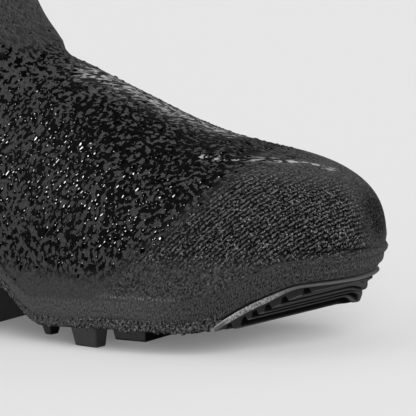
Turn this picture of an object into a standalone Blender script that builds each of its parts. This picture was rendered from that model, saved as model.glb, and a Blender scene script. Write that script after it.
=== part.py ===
"""A knitted cycling overshoe, stretched over the lugged sole of an off-road cycling shoe.

Metres, +Z up, with the floor at z = 0. The last is drawn with x running from the heel's back to
the toe's tip and y to the wearer's left. It is a right foot, so its lateral side is at -Y.
The finished assembly is then moved so that the middle of its footprint is at the origin.
"""

from collections import namedtuple

import bmesh
import bpy
import numpy as np

# Driving sizes
LENGTH = 0.286
WALL = 0.0020
FIT_GAP = 0.0003
COLLAR_HEIGHT = 0.198

# Rounding of the last's two ends, in plan and in side view
TOE_ROUND = 0.078
HEEL_ROUND = 0.036
TOE_CROWN_ROUND = 0.052
END_POWER = 2.35
CROWN_POWER = 2.8
LEG_POWER = 2.15
JOIN_POWER = 8

# Points on each side of a ring, and on each side of a ring before it is evened out
SIDE_STEPS = 32
SOLE_STEPS = 56
DENSE_STEPS = 400
SAME_POINT = 1e-6

# The last from heel to toe: x, then the height of the sole's edge, of the side band's ledge, of the
# widest line and of the instep's ridge, the half width to each side of the axis, how far the axis
# swings to medial, and how full the section is between its widest line and its ridge
Section = namedtuple("Section", "x edge ledge widest ridge lateral medial swing fullness")
SECTIONS = (
    Section(0.000, 0.0125, 0.0265, 0.0420, 0.0680, 0.0350, 0.0350, 0.0000, 2.30),
    Section(0.030, 0.0100, 0.0240, 0.0420, 0.0820, 0.0355, 0.0350, 0.0000, 2.30),
    Section(0.062, 0.0095, 0.0235, 0.0420, 0.1040, 0.0360, 0.0345, 0.0000, 2.20),
    Section(0.078, 0.0130, 0.0270, 0.0430, 0.1130, 0.0362, 0.0340, 0.0000, 2.10),
    Section(0.092, 0.0205, 0.0345, 0.0440, 0.1200, 0.0365, 0.0335, 0.0000, 2.05),
    Section(0.104, 0.0240, 0.0380, 0.0450, 0.1245, 0.0370, 0.0330, 0.0000, 2.00),
    Section(0.115, 0.0222, 0.0362, 0.0450, 0.1270, 0.0378, 0.0332, 0.0000, 2.00),
    Section(0.130, 0.0107, 0.0247, 0.0430, 0.1225, 0.0395, 0.0345, 0.0000, 2.00),
    Section(0.138, 0.0078, 0.0218, 0.0425, 0.1200, 0.0410, 0.0358, 0.0000, 2.00),
    Section(0.153, 0.0087, 0.0227, 0.0410, 0.1138, 0.0440, 0.0385, 0.0000, 2.00),
    Section(0.172, 0.0097, 0.0237, 0.0395, 0.1058, 0.0470, 0.0425, 0.0000, 2.02),
    Section(0.190, 0.0103, 0.0243, 0.0390, 0.0978, 0.0485, 0.0455, 0.0005, 2.05),
    Section(0.210, 0.0103, 0.0243, 0.0390, 0.0908, 0.0480, 0.0475, 0.0010, 2.10),
    Section(0.2245, 0.0107, 0.0246, 0.0395, 0.0872, 0.0468, 0.0482, 0.0018, 2.20),
    Section(0.232, 0.0132, 0.0261, 0.0404, 0.0858, 0.0462, 0.0482, 0.0022, 2.25),
    Section(0.239, 0.0178, 0.0288, 0.0415, 0.0845, 0.0455, 0.0480, 0.0028, 2.30),
    Section(0.2545, 0.0262, 0.0358, 0.0440, 0.0815, 0.0447, 0.0472, 0.0040, 2.45),
    Section(0.269, 0.0315, 0.0400, 0.0455, 0.0785, 0.0440, 0.0465, 0.0050, 2.60),
    Section(0.280, 0.0320, 0.0412, 0.0462, 0.0770, 0.0440, 0.0460, 0.0055, 2.60),
    Section(LENGTH, 0.0304, 0.0412, 0.0462, 0.0770, 0.0440, 0.0460, 0.0055, 2.60),
)

# The heel and the leg, as level rings: height, front, back and half width
Ring = namedtuple("Ring", "z front back half_width")
LEG_RINGS = (
    Ring(0.036, 0.0820, 0.0000, 0.0270),
    Ring(0.052, 0.0880, 0.0006, 0.0290),
    Ring(0.068, 0.0960, 0.0036, 0.0310),
    Ring(0.084, 0.1050, 0.0080, 0.0325),
    Ring(0.104, 0.1160, 0.0130, 0.0345),
    Ring(0.122, 0.1240, 0.0155, 0.0355),
    Ring(0.139, 0.1120, 0.0165, 0.0350),
    Ring(0.153, 0.1048, 0.0175, 0.0345),
    Ring(0.172, 0.1002, 0.0180, 0.0342),
    Ring(0.205, 0.0985, 0.0170, 0.0350),
)

# The cover's wall below the widest line, from the hem's turned-in lip upwards: height above the
# sole's edge under a ledge of full height, share of the way from the ledge to the widest line, and
# inset from the widest line
Wall = namedtuple("Wall", "rise share inset")
WALL_RINGS = (
    Wall(0.0006, 0.0, 0.0084),
    Wall(0.0000, 0.0, 0.0064),
    Wall(0.0010, 0.0, 0.0049),
    Wall(0.0028, 0.0, 0.0042),
    Wall(0.0048, 0.0, 0.0044),
    Wall(0.0080, 0.0, 0.0025),
    Wall(0.0116, 0.0, 0.0011),
    Wall(0.0130, 0.0, 0.0011),
    Wall(0.0140, 0.0, 0.0022),
    Wall(0.0140, 0.35, 0.0008),
    Wall(0.0140, 1.0, 0.0000),
)
LEDGE_RISE = 0.0140

# The rings above the widest line: the level that each tends to, and how level it lies by then
Level = namedtuple("Level", "z share")
LEVELS = (
    Level(0.060, 0.22),
    Level(0.062, 0.50),
    Level(0.066, 0.75),
    Level(0.070, 0.92),
    Level(0.0740, 1.0),
    Level(0.0768, 1.0),
    Level(0.0796, 1.0),
    Level(0.0826, 1.0),
    Level(0.0858, 1.0),
    Level(0.0895, 1.0),
    Level(0.0940, 1.0),
    Level(0.0990, 1.0),
    Level(0.1040, 1.0),
    Level(0.1090, 1.0),
    Level(0.1140, 1.0),
    Level(0.1190, 1.0),
    Level(0.1240, 1.0),
    Level(0.1300, 1.0),
    Level(0.1380, 1.0),
    Level(0.1480, 1.0),
    Level(0.1600, 1.0),
    Level(0.1730, 1.0),
    Level(0.1855, 1.0),
    Level(0.1870, 1.0),
    Level(COLLAR_HEIGHT, 1.0),
)
CUFF_BAND_FROM = 0.1860
CUFF_BAND_STEP = 0.0008

# The sole plate and the insole inside the cover
PLATE_INSET = 0.0076
PLATE_LOW = 0.0031
PLATE_HIGH = 0.0128
PLATE_BEVEL = 0.0012
INSOLE_INSET = 0.0062
INSOLE_THICK = 0.0035

# The toe bumper: a thin rim under the hem, and a pad below it with grooves between transverse ribs.
# It lies across the toe's own axis, which leans to medial: a station is read on its lateral side
Under = namedtuple("Under", "station z")
BUMPER_UNDER = (
    Under(0.2345, 0.0124),
    Under(0.2420, 0.0130),
    Under(0.2453, 0.0160),
    Under(0.2505, 0.0190),
    Under(0.2556, 0.0213),
    Under(0.2617, 0.0236),
    Under(0.2691, 0.0256),
    Under(0.2780, 0.0274),
    Under(LENGTH, 0.0288),
)
TOE_LEAN = np.tan(np.radians(6.5))
TOE_LATERAL = -0.038
BUMPER_BACK = 0.2345
RIM_INSET = 0.0038
RIM_BEVEL = 0.0004
BUMPER_STEPS = 22
RIM_TALL = 0.0019
PAD_INSET = 0.0062
PAD_DRAFT = 0.0005
SEAT_INSET = 0.0092
SEAT_SET_IN = 0.0024
GROOVE_FIRST = 0.2464
GROOVE_PITCH = 0.0050
GROOVE_COUNT = 7
GROOVE_WIDTH = 0.0022
GROOVE_DEEP = 0.0020
GROOVE_RUNOUT = 0.0015

# Tread lugs: middle, size at the root, clearance off the floor, and turn in plan in degrees
Lug = namedtuple("Lug", "name x y long wide clearance turn")
LUGS = (
    Lug("lug_middle_bar", 0.1728, 0.0000, 0.0205, 0.0370, 0.0, 0.0),
    Lug("lug_lateral_rear", 0.1625, -0.0318, 0.0170, 0.0090, 0.0, -9.0),
    Lug("lug_lateral_small", 0.1385, -0.0285, 0.0075, 0.0080, 0.0030, -9.0),
    Lug("lug_medial_rear", 0.1625, 0.0275, 0.0170, 0.0090, 0.0, 12.0),
    Lug("lug_medial_small", 0.1385, 0.0235, 0.0075, 0.0080, 0.0030, 9.0),
    Lug("lug_heel_breast", 0.0810, 0.0000, 0.0150, 0.0480, 0.0, 0.0),
    Lug("lug_heel_lateral", 0.0520, -0.0175, 0.0300, 0.0150, 0.0, 0.0),
    Lug("lug_heel_medial", 0.0520, 0.0170, 0.0300, 0.0150, 0.0, 0.0),
    Lug("lug_heel_back", 0.0240, 0.0000, 0.0170, 0.0320, 0.0, 0.0),
)
LUG_DRAFT = 0.0016
LUG_BEVEL = 0.0008
LUG_STEPS = 5

Finish = namedtuple("Finish", "colour roughness metallic")
KNIT = Finish((0.022, 0.022, 0.023, 1.0), 0.75, 0.0)
RUBBER = Finish((0.016, 0.016, 0.017, 1.0), 0.55, 0.0)
NYLON = Finish((0.010, 0.010, 0.011, 1.0), 0.45, 0.0)
FOAM = Finish((0.030, 0.030, 0.032, 1.0), 0.85, 0.0)


def curve_of(rows, across, column):
    """A smooth function through one column of a table, which doesn't overshoot its rows."""
    x = np.array([getattr(row, across) for row in rows])
    y = np.array([getattr(row, column) for row in rows])
    step = np.diff(x)
    slope = np.diff(y) / step
    tangent = np.zeros_like(y)
    same_way = slope[:-1] * slope[1:] > 0
    weight_a = 2 * step[1:] + step[:-1]
    weight_b = step[1:] + 2 * step[:-1]
    with np.errstate(divide="ignore", invalid="ignore"):
        mean = (weight_a + weight_b) / (weight_a / slope[:-1] + weight_b / slope[1:])
    tangent[1:-1] = np.where(same_way, mean, 0.0)
    tangent[0], tangent[-1] = slope[0], slope[-1]

    def curve(at):
        at = np.clip(at, x[0], x[-1])
        i = np.clip(np.searchsorted(x, at, side="right") - 1, 0, len(step) - 1)
        t = (at - x[i]) / step[i]
        start = (1 + 2 * t) * (1 - t) ** 2 * y[i] + t * (1 - t) ** 2 * step[i] * tangent[i]
        end = t * t * (3 - 2 * t) * y[i + 1] + t * t * (t - 1) * step[i] * tangent[i + 1]
        return start + end

    return curve


edge_at = curve_of(SECTIONS, "x", "edge")
ledge_at = curve_of(SECTIONS, "x", "ledge")
widest_at = curve_of(SECTIONS, "x", "widest")
ridge_table = curve_of(SECTIONS, "x", "ridge")
lateral_at = curve_of(SECTIONS, "x", "lateral")
medial_at = curve_of(SECTIONS, "x", "medial")
swing_at = curve_of(SECTIONS, "x", "swing")
fullness_at = curve_of(SECTIONS, "x", "fullness")
under_at = curve_of(BUMPER_UNDER, "station", "z")
leg_front = curve_of(LEG_RINGS, "z", "front")
leg_back = curve_of(LEG_RINGS, "z", "back")
leg_half = curve_of(LEG_RINGS, "z", "half_width")


def rounded(share, power):
    """1 at share 0, falling to 0 at share 1 as a superellipse does."""
    return (1 - np.clip(share, 0, 1) ** power) ** (1 / power)


def half_width(side, x):
    """The last's half width at its widest line, on the lateral (-1) or medial (+1) side."""
    core = lateral_at(x) if side < 0 else medial_at(x)
    toe = rounded((x - LENGTH + TOE_ROUND) / TOE_ROUND, END_POWER)
    heel = rounded((HEEL_ROUND - x) / HEEL_ROUND, END_POWER)
    return core * toe * heel


def ridge_at(x):
    """The height of the instep's ridge, brought down to the widest line at the toe and heel."""
    toe = rounded((x - LENGTH + TOE_CROWN_ROUND) / TOE_CROWN_ROUND, CROWN_POWER)
    heel = rounded((HEEL_ROUND - x) / HEEL_ROUND, END_POWER)
    return widest_at(x) + (ridge_table(x) - widest_at(x)) * toe * heel


def foot_half(side, x, z):
    """Half width of the foot's section at station x and height z, above the widest line."""
    low = widest_at(x)
    tall = np.maximum(ridge_at(x) - low, 1e-9)
    return half_width(side, x) * rounded((z - low) / tall, fullness_at(x))


def leg_half_at(x, z):
    """Half width of the leg's level ring of height z, at station x."""
    front, back = leg_front(z), leg_back(z)
    along = np.abs(2 * (x - back) / (front - back) - 1)
    return leg_half(z) * rounded(along, LEG_POWER)


def level_line(level, x):
    """The height of a ring above the widest line, at station x."""
    return widest_at(x) + (level.z - widest_at(x)) * level.share


def ends_of(level):
    """The back and front of a ring: the furthest stations that the foot or the leg reaches."""
    x = np.linspace(0, LENGTH, 4 * DENSE_STEPS + 1)
    z = level_line(level, x)
    inside = (ridge_at(x) > z) | ((x > leg_back(z)) & (x < leg_front(z)))
    return x[inside].min(), x[inside].max()


def evened(points, steps):
    """Points at even distances along an open line."""
    run = np.concatenate([[0], np.cumsum(np.linalg.norm(np.diff(points, axis=0), axis=1))])
    at = np.linspace(0, run[-1], steps + 1)
    return np.stack([np.interp(at, run, points[:, k]) for k in range(3)], axis=1)


def ring_of(lateral, medial, steps):
    """A ring that runs back along the lateral side and comes forward along the medial side."""
    return np.concatenate([evened(lateral, steps), evened(medial, steps)[::-1]])


def stations(back, front):
    """Stations from front to back, crowded at both ends."""
    turn = np.linspace(0, np.pi, DENSE_STEPS + 1)
    return back + (front - back) * (1 + np.cos(turn)) / 2


def bridged(x, half):
    """Half widths of a stretched ring: its cloth bridges the hollows of the form inside it."""
    kept = []
    for point in zip(x[::-1], half[::-1]):
        while len(kept) > 1:
            (x0, y0), (x1, y1) = kept[-2:]
            if (x1 - x0) * (point[1] - y0) < (y1 - y0) * (point[0] - x0):
                break
            kept.pop()
        kept.append(point)
    kept = np.array(kept)
    return np.interp(x, kept[:, 0], kept[:, 1])


def level_ring(level):
    """One ring of the upper above the widest line: the foot's section joined to the leg's."""
    x = stations(*ends_of(level))
    z = level_line(level, x)
    sides = []
    for side in (-1, 1):
        foot, leg = foot_half(side, x, z), leg_half_at(x, z)
        half = (foot**JOIN_POWER + leg**JOIN_POWER) ** (1 / JOIN_POWER)
        half += level.share * (bridged(x, half) - half)
        if level.z > CUFF_BAND_FROM:
            half += CUFF_BAND_STEP
        half[0] = half[-1] = 0.0
        sides.append(np.stack([x, swing_at(x) + side * half, z], axis=1))
    return ring_of(*sides, SIDE_STEPS)


def outline(inset):
    """The widest line's plan as two sides, each from toe to heel, moved inwards by an inset."""
    x = stations(0.0, LENGTH)
    sides = []
    for side in (-1, 1):
        line = np.stack([x, swing_at(x) + side * half_width(side, x)], axis=1)
        along = np.gradient(line, axis=0)
        along[0], along[-1] = (0, side), (0, -side)
        along /= np.linalg.norm(along, axis=1)[:, None]
        inwards = np.stack([along[:, 1], -along[:, 0]], axis=1) * -side
        sides.append(line + inwards * inset)
    return sides


def raised(plan, height_of):
    """A plan line lifted to a height that depends on its station."""
    return np.column_stack([plan, height_of(plan[:, 0])])


def wall_height(row):
    """The height of a ring of the lower wall, as a function of its station."""

    def height(x):
        band = ledge_at(x) - edge_at(x)
        return edge_at(x) + band * row.rise / LEDGE_RISE + row.share * (widest_at(x) - ledge_at(x))

    return height


def outline_ring(inset, height_of, steps=SOLE_STEPS):
    """A ring all round the last, inset from its widest line, at a height that follows the sole."""
    return ring_of(*[raised(side, height_of) for side in outline(inset)], steps)


def finish_of(name, finish):
    """A plain material of the piece's colour and gloss."""
    material = bpy.data.materials.get(name) or bpy.data.materials.new(name)
    material.use_nodes = True
    shader = material.node_tree.nodes["Principled BSDF"]
    shader.inputs["Base Color"].default_value = finish.colour
    shader.inputs["Roughness"].default_value = finish.roughness
    shader.inputs["Metallic"].default_value = finish.metallic
    return material


def add_object(name, mesh, collection, material):
    mesh.materials.append(material)
    mesh.shade_smooth()
    mesh.set_sharp_from_angle(angle=np.radians(40))
    made = bpy.data.objects.new(name, mesh)
    collection.objects.link(made)
    return made


def ladder(bm, ring):
    """Closes a ring with rungs from its lateral points to the medial points facing them."""
    count = len(ring)
    for i in range(count // 2 - 1):
        bm.faces.new((ring[i], ring[i + 1], ring[count - i - 2], ring[count - i - 1]))


def loft(name, rings, capped=True):
    """A mesh through rings of the same count, lowest first, with or without its two ends."""
    bm = bmesh.new()
    rows = [[bm.verts.new(point) for point in ring] for ring in rings]
    count = len(rows[0])
    for low, high in zip(rows, rows[1:]):
        for i in range(count):
            j = (i + 1) % count
            bm.faces.new((low[i], low[j], high[j], high[i]))
    if capped:
        ladder(bm, rows[0])
        ladder(bm, rows[-1])
    bmesh.ops.remove_doubles(bm, verts=bm.verts, dist=SAME_POINT)
    bmesh.ops.recalc_face_normals(bm, faces=bm.faces)
    mesh = bpy.data.meshes.new(name)
    bm.to_mesh(mesh)
    bm.free()
    return mesh


def add_upper(collection):
    """The knitted cover: an open skin from the hem's lip to the cuff, given its wall inwards."""
    rings = [outline_ring(row.inset, wall_height(row), SIDE_STEPS) for row in WALL_RINGS]
    rings += [level_ring(level) for level in LEVELS]
    mesh = loft("upper", rings, capped=False)
    upper = add_object("upper", mesh, collection, finish_of("knit", KNIT))
    wall = upper.modifiers.new("wall", "SOLIDIFY")
    wall.thickness = WALL
    wall.offset = -1
    wall.use_even_offset = True
    upper.modifiers.new("triangles", "TRIANGULATE").quad_method = "SHORTEST_DIAGONAL"
    return upper


def add_plate(collection):
    """The stiff sole plate, with a bevel round its lower and upper edges."""
    rows = (
        (PLATE_LOW, PLATE_INSET + PLATE_BEVEL),
        (PLATE_LOW + PLATE_BEVEL, PLATE_INSET),
        (PLATE_HIGH - PLATE_BEVEL, PLATE_INSET),
        (PLATE_HIGH, PLATE_INSET + PLATE_BEVEL),
    )
    rings = [outline_ring(inset, lambda x, up=rise: edge_at(x) + up) for rise, inset in rows]
    mesh = loft("sole_plate", rings)
    return add_object("sole_plate", mesh, collection, finish_of("nylon", NYLON))


def add_insole(collection):
    """The footbed, which lies on the plate."""
    low = PLATE_HIGH + FIT_GAP
    rows = ((low, INSOLE_INSET), (low + INSOLE_THICK, INSOLE_INSET + PLATE_BEVEL))
    rings = [outline_ring(inset, lambda x, up=rise: edge_at(x) + up) for rise, inset in rows]
    mesh = loft("insole", rings)
    return add_object("insole", mesh, collection, finish_of("foam", FOAM))


def toe_station(x, y):
    """The station of a point of the toe, read across the toe's leaning axis."""
    return x - (y - TOE_LATERAL) * TOE_LEAN


def pad_under(x, y):
    """The height of the pad's ribs."""
    return under_at(toe_station(x, y))


def rim_under(x, y):
    """The height of the rim's underside."""
    return edge_at(x) - RIM_TALL


def rim_top(x, y):
    """The height of the rim's top, just under the hem."""
    return edge_at(x) - FIT_GAP


def toe_ring(inset, height_of, back=BUMPER_BACK):
    """The toe's part of the outline as a closed ring: its two sides and a straight back edge."""
    sides = []
    for side in outline(inset):
        station = toe_station(side[:, 0], side[:, 1])
        last = int((station > back).sum()) - 1
        share = (back - station[last]) / (station[last + 1] - station[last])
        line = np.vstack([side[:last + 1], side[last] + (side[last + 1] - side[last]) * share])
        sides.append(np.column_stack([line, height_of(line[:, 0], line[:, 1])]))
    return ring_of(*sides, BUMPER_STEPS)


def cut_with(piece, cutter):
    cut = piece.modifiers.new(cutter.name, "BOOLEAN")
    cut.operation = "DIFFERENCE"
    cut.object = cutter


def groove_end(side, station):
    """Where a groove runs out on one side: past the pad and under the rim."""
    x = station
    for _ in range(4):
        y = swing_at(x) + side * (half_width(side, x) - PAD_INSET + GROOVE_RUNOUT)
        x = station + (y - TOE_LATERAL) * TOE_LEAN
    return np.array((x, y, pad_under(x, y)))


def add_groove(index, cutters):
    """One transverse groove, as a bar laid across the pad's underside."""
    station = GROOVE_FIRST + GROOVE_PITCH * index
    lateral, medial = (groove_end(side, station) for side in (-1, 1))
    across = medial - lateral
    rise = (under_at(station + GROOVE_WIDTH) - under_at(station - GROOVE_WIDTH)) / (2 * GROOVE_WIDTH)
    bpy.ops.mesh.primitive_cube_add(size=1)
    groove = bpy.context.object
    groove.name = f"groove_cutter_{index}"
    groove.scale = (GROOVE_WIDTH, np.linalg.norm(across), 2 * GROOVE_DEEP)
    groove.location = (lateral + medial) / 2
    groove.rotation_euler = (np.arctan2(across[2], across[1]), -np.arctan(rise), -np.arctan(TOE_LEAN))
    groove.hide_render = True
    groove.display_type = "WIRE"
    for holder in groove.users_collection:
        holder.objects.unlink(groove)
    cutters.objects.link(groove)
    return groove


def add_bumper(collection, cutters):
    """The toe bumper: its rim shows under the hem, and its middle is seated on the plate."""
    seat_back = BUMPER_BACK + SEAT_SET_IN
    rings = (
        toe_ring(PAD_INSET + PAD_DRAFT, pad_under),
        toe_ring(PAD_INSET, rim_under),
        toe_ring(RIM_INSET + RIM_BEVEL, rim_under),
        toe_ring(RIM_INSET, lambda x, y: rim_under(x, y) + RIM_BEVEL),
        toe_ring(RIM_INSET, lambda x, y: rim_top(x, y) - RIM_BEVEL),
        toe_ring(RIM_INSET + RIM_BEVEL, rim_top),
        toe_ring(SEAT_INSET, rim_top, seat_back),
        toe_ring(SEAT_INSET + FIT_GAP, lambda x, y: edge_at(x) + PLATE_LOW - FIT_GAP, seat_back),
    )
    mesh = loft("toe_bumper", rings)
    bumper = add_object("toe_bumper", mesh, collection, finish_of("rubber", RUBBER))
    for index in range(GROOVE_COUNT):
        cut_with(bumper, add_groove(index, cutters))
    return bumper


def lug_ring(lug, draft, height_of):
    """One level of a tread block, drawn in by the draft of its sides."""
    turn = np.radians(lug.turn)
    across = lug.wide / 2 - draft
    sides = []
    for side in (-1, 1):
        along = np.linspace(lug.long / 2 - draft, draft - lug.long / 2, LUG_STEPS + 1)
        x = lug.x + along * np.cos(turn) - side * across * np.sin(turn)
        y = lug.y + along * np.sin(turn) + side * across * np.cos(turn)
        sides.append(raised(np.stack([x, y], axis=1), height_of))
    return np.concatenate([sides[0], sides[1][::-1]])


def add_lug(lug, collection):
    """A tread block with drafted sides and a bevelled foot, up to just under the plate."""
    rings = (
        lug_ring(lug, LUG_DRAFT + LUG_BEVEL, lambda x: 0 * x + lug.clearance),
        lug_ring(lug, LUG_DRAFT, lambda x: 0 * x + lug.clearance + LUG_BEVEL),
        lug_ring(lug, 0.0, lambda x: edge_at(x) + PLATE_LOW - FIT_GAP),
    )
    return add_object(lug.name, loft(lug.name, rings), collection, finish_of("rubber", RUBBER))


def centre_on_floor(pieces):
    """Parents the pieces to an empty that brings the middle of their footprint to the origin."""
    bpy.context.view_layer.update()
    graph = bpy.context.evaluated_depsgraph_get()
    corners = []
    for piece in pieces:
        shown = piece.evaluated_get(graph)
        corners += [shown.matrix_world @ vert.co for vert in shown.data.vertices]
    corners = np.array(corners)
    middle = (corners.min(axis=0) + corners.max(axis=0)) / 2
    holder = bpy.data.objects.new("overshoe_origin", None)
    holder.location = (-middle[0], -middle[1], 0)
    return holder


def main():
    for old in list(bpy.data.objects):
        bpy.data.objects.remove(old)
    scene = bpy.context.scene.collection
    overshoe = bpy.data.collections.new("cycling_overshoe")
    cutters = bpy.data.collections.new("cutters")
    scene.children.link(overshoe)
    scene.children.link(cutters)
    pieces = [add_upper(overshoe), add_plate(overshoe), add_insole(overshoe)]
    pieces.append(add_bumper(overshoe, cutters))
    pieces += [add_lug(lug, overshoe) for lug in LUGS]
    holder = centre_on_floor(pieces)
    overshoe.objects.link(holder)
    for piece in pieces + list(cutters.objects):
        piece.parent = holder


main()
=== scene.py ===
# %% [markdown]
# # A rain-wet knitted cycling overshoe
# The overshoe is a stretch-knit cover drawn over an off-road cycling shoe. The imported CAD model
# holds its sizes. This lesson gives it its looks: a dense knitted skin with a ledge, creases and a
# chunky hem, rain standing on the cloth, a ribbed rubber toe bumper and moulded tread blocks.
# Everything is in metres, in the frame's own axes: +X to the toe, +Y to medial, +Z up.

import bmesh
import bpy
import numpy as np
from mathutils import Matrix, Vector


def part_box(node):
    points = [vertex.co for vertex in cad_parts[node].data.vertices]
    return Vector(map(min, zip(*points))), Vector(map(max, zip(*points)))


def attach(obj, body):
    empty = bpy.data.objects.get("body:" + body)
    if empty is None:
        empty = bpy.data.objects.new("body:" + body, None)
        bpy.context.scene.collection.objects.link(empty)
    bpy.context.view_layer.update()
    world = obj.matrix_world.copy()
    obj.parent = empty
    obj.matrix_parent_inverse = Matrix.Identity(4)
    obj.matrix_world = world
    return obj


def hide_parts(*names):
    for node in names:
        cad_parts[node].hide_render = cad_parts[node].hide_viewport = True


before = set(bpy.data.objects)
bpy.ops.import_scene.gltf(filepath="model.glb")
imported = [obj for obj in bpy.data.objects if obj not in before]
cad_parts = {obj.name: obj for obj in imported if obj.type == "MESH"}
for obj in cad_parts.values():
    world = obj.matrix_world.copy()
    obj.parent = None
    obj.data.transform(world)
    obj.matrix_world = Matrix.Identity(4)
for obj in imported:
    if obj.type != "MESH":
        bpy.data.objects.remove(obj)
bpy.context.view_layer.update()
MM = 0.001
print("nodes in the frame:", len(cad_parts))

# %% [markdown]
# ## A few small helpers
# Colours are easier to judge as the hex values that a colour picker shows, and the shaders want
# linear light, so one function turns the first into the second. Node trees are easier to read when
# each node is one call that names its settings and what is plugged into it.


# %% Helpers for colours, nodes and objects
def linear(colour):
    """An sRGB hex colour as linear RGBA."""
    parts = [int(colour[i:i + 2], 16) / 255 for i in (1, 3, 5)]
    return [c / 12.92 if c <= 0.04045 else ((c + 0.055) / 1.055) ** 2.4 for c in parts] + [1.0]


def add_node(tree, kind, inputs=None, **settings):
    """Adds a node. Each input is a value, or another node's output to link."""
    made = tree.nodes.new(kind)
    for name, value in settings.items():
        setattr(made, name, value)
    for socket, value in (inputs or {}).items():
        if isinstance(value, bpy.types.NodeSocket):
            tree.links.new(value, made.inputs[socket])
        else:
            made.inputs[socket].default_value = value
    return made


def new_material(name):
    """A material with its shader, and the node tree to plug into it."""
    made = bpy.data.materials.new(name)
    made.use_nodes = True
    return made, made.node_tree, made.node_tree.nodes["Principled BSDF"]


def add_object(name, data):
    """An object at the origin, in the scene."""
    made = bpy.data.objects.new(name, data)
    bpy.context.collection.objects.link(made)
    return made


print("mid grey in linear light: %.3f" % linear("#808080")[0])

# %% [markdown]
# ## The camera
# The photo was taken from the shoe's front and outer side, low and from far off, with a slight
# roll. A long lens keeps the lines as parallel as they are there. The numbers come from fitting the
# hem, the lugs and the outline of the CAD model to the photo.

# %% Place the camera
AZIMUTH, ELEVATION, ROLL = np.radians((37.0, 8.5, 3.0))
AIM = np.array((0.06255, 0.0, 0.05755))
DISTANCE = 1.6
PHOTO_SIDE = 416
FOCAL_PIXELS = 3712


def direction(azimuth, elevation):
    """The unit vector towards a place at this azimuth and elevation."""
    level = np.cos(elevation)
    return np.array((np.sin(azimuth) * level, -np.cos(azimuth) * level, np.sin(elevation)))


back = direction(AZIMUTH, ELEVATION)
level_right = np.cross(-back, (0, 0, 1))
level_right /= np.linalg.norm(level_right)
level_up = np.cross(level_right, -back)
right = np.cos(ROLL) * level_right - np.sin(ROLL) * level_up
upright = np.sin(ROLL) * level_right + np.cos(ROLL) * level_up

lens = bpy.data.cameras.new("photo_camera")
lens.sensor_width = 36.0
lens.lens = lens.sensor_width * FOCAL_PIXELS / PHOTO_SIDE
camera = add_object("photo_camera", lens)
place = Matrix(np.stack([right, upright, back], axis=1)).to_4x4()
place.translation = Vector(AIM + back * DISTANCE)
camera.matrix_world = place
bpy.context.scene.camera = camera
print("lens %.0f mm at %.2f m" % (lens.lens, DISTANCE))

# %% [markdown]
# ## Floor and studio light
# The photo has a plain pale ground without a horizon, an even soft light with a shadow only under the
# forefoot, deep blacks in the wet cloth and small bright glints. A white tent gives the first two and
# washes out the blacks. Black flags round a tent would do both, so the sky and the floor are white to
# the cloth and dark to whatever mirrors them. Suns stand for softboxes. A lamp that is strong enough for
# a black shoe burns out a pale floor, so shoe and floor have lamps of their own, kept apart by light
# linking. One of the shoe's lamps, at the left, only makes glints.

# %% Lamps
bpy.context.scene.view_settings.view_transform = "Standard"


def add_sun(name, azimuth, elevation, strength, angle, shadow=False, diffuse=True, glossy=False):
    """A sun that shines from this azimuth and elevation, all in degrees."""
    lamp = bpy.data.lights.new(name, "SUN")
    lamp.energy = strength
    lamp.angle = np.radians(angle)
    lamp.use_shadow = shadow
    sun = add_object(name, lamp)
    source = Vector(direction(np.radians(azimuth), np.radians(elevation)))
    sun.rotation_euler = source.to_track_quat("Z", "Y").to_euler()
    sun.visible_diffuse = diffuse
    sun.visible_glossy = glossy
    return sun


shoe_suns = [
    add_sun("toe_softbox", 95, 38, 1.50, 36, shadow=True),
    add_sun("heel_softbox", 265, 62, 0.70, 36, shadow=True),
    add_sun("top_fill", 0, 88, 0.35, 30),
    add_sun("left_fill", -20, 8, 0.80, 40),
    add_sun("right_fill", 85, 8, 0.40, 40),
    add_sun("glint_strip", -42, 24, 4.20, 28, diffuse=False, glossy=True),
]
floor_suns = [
    add_sun("floor_toe_softbox", 62, 16, 4.95, 60, shadow=True),
    add_sun("floor_left_softbox", -40, 28, 1.20, 60),
]
print("lamps: %d for the shoe, %d for the floor" % (len(shoe_suns), len(floor_suns)))

# %% Sky
PAPER, WHITE, BLACK_FLAG = linear("#e6e6e6"), linear("#ffffff"), linear("#202020")
TENT_STRENGTH, FLAG_STRENGTH = 0.36, 0.03
world = bpy.data.worlds.new("tent_with_black_flags")
bpy.context.scene.world = world
world.use_nodes = True
sky = world.node_tree
ray = add_node(sky, "ShaderNodeLightPath").outputs
ground = add_node(sky, "ShaderNodeBackground", {"Color": PAPER})
tent = add_node(sky, "ShaderNodeBackground", {"Strength": TENT_STRENGTH, "Color": WHITE})
flags = add_node(sky, "ShaderNodeBackground", {"Strength": FLAG_STRENGTH, "Color": WHITE})
lit = add_node(sky, "ShaderNodeMixShader", {
    0: ray["Is Glossy Ray"], 1: tent.outputs[0], 2: flags.outputs[0],
})
both = add_node(sky, "ShaderNodeMixShader", {
    0: ray["Is Camera Ray"], 1: lit.outputs[0], 2: ground.outputs[0],
})
sky.links.new(both.outputs[0], sky.nodes["World Output"].inputs["Surface"])
print("nodes of the sky:", len(sky.nodes))

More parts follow.
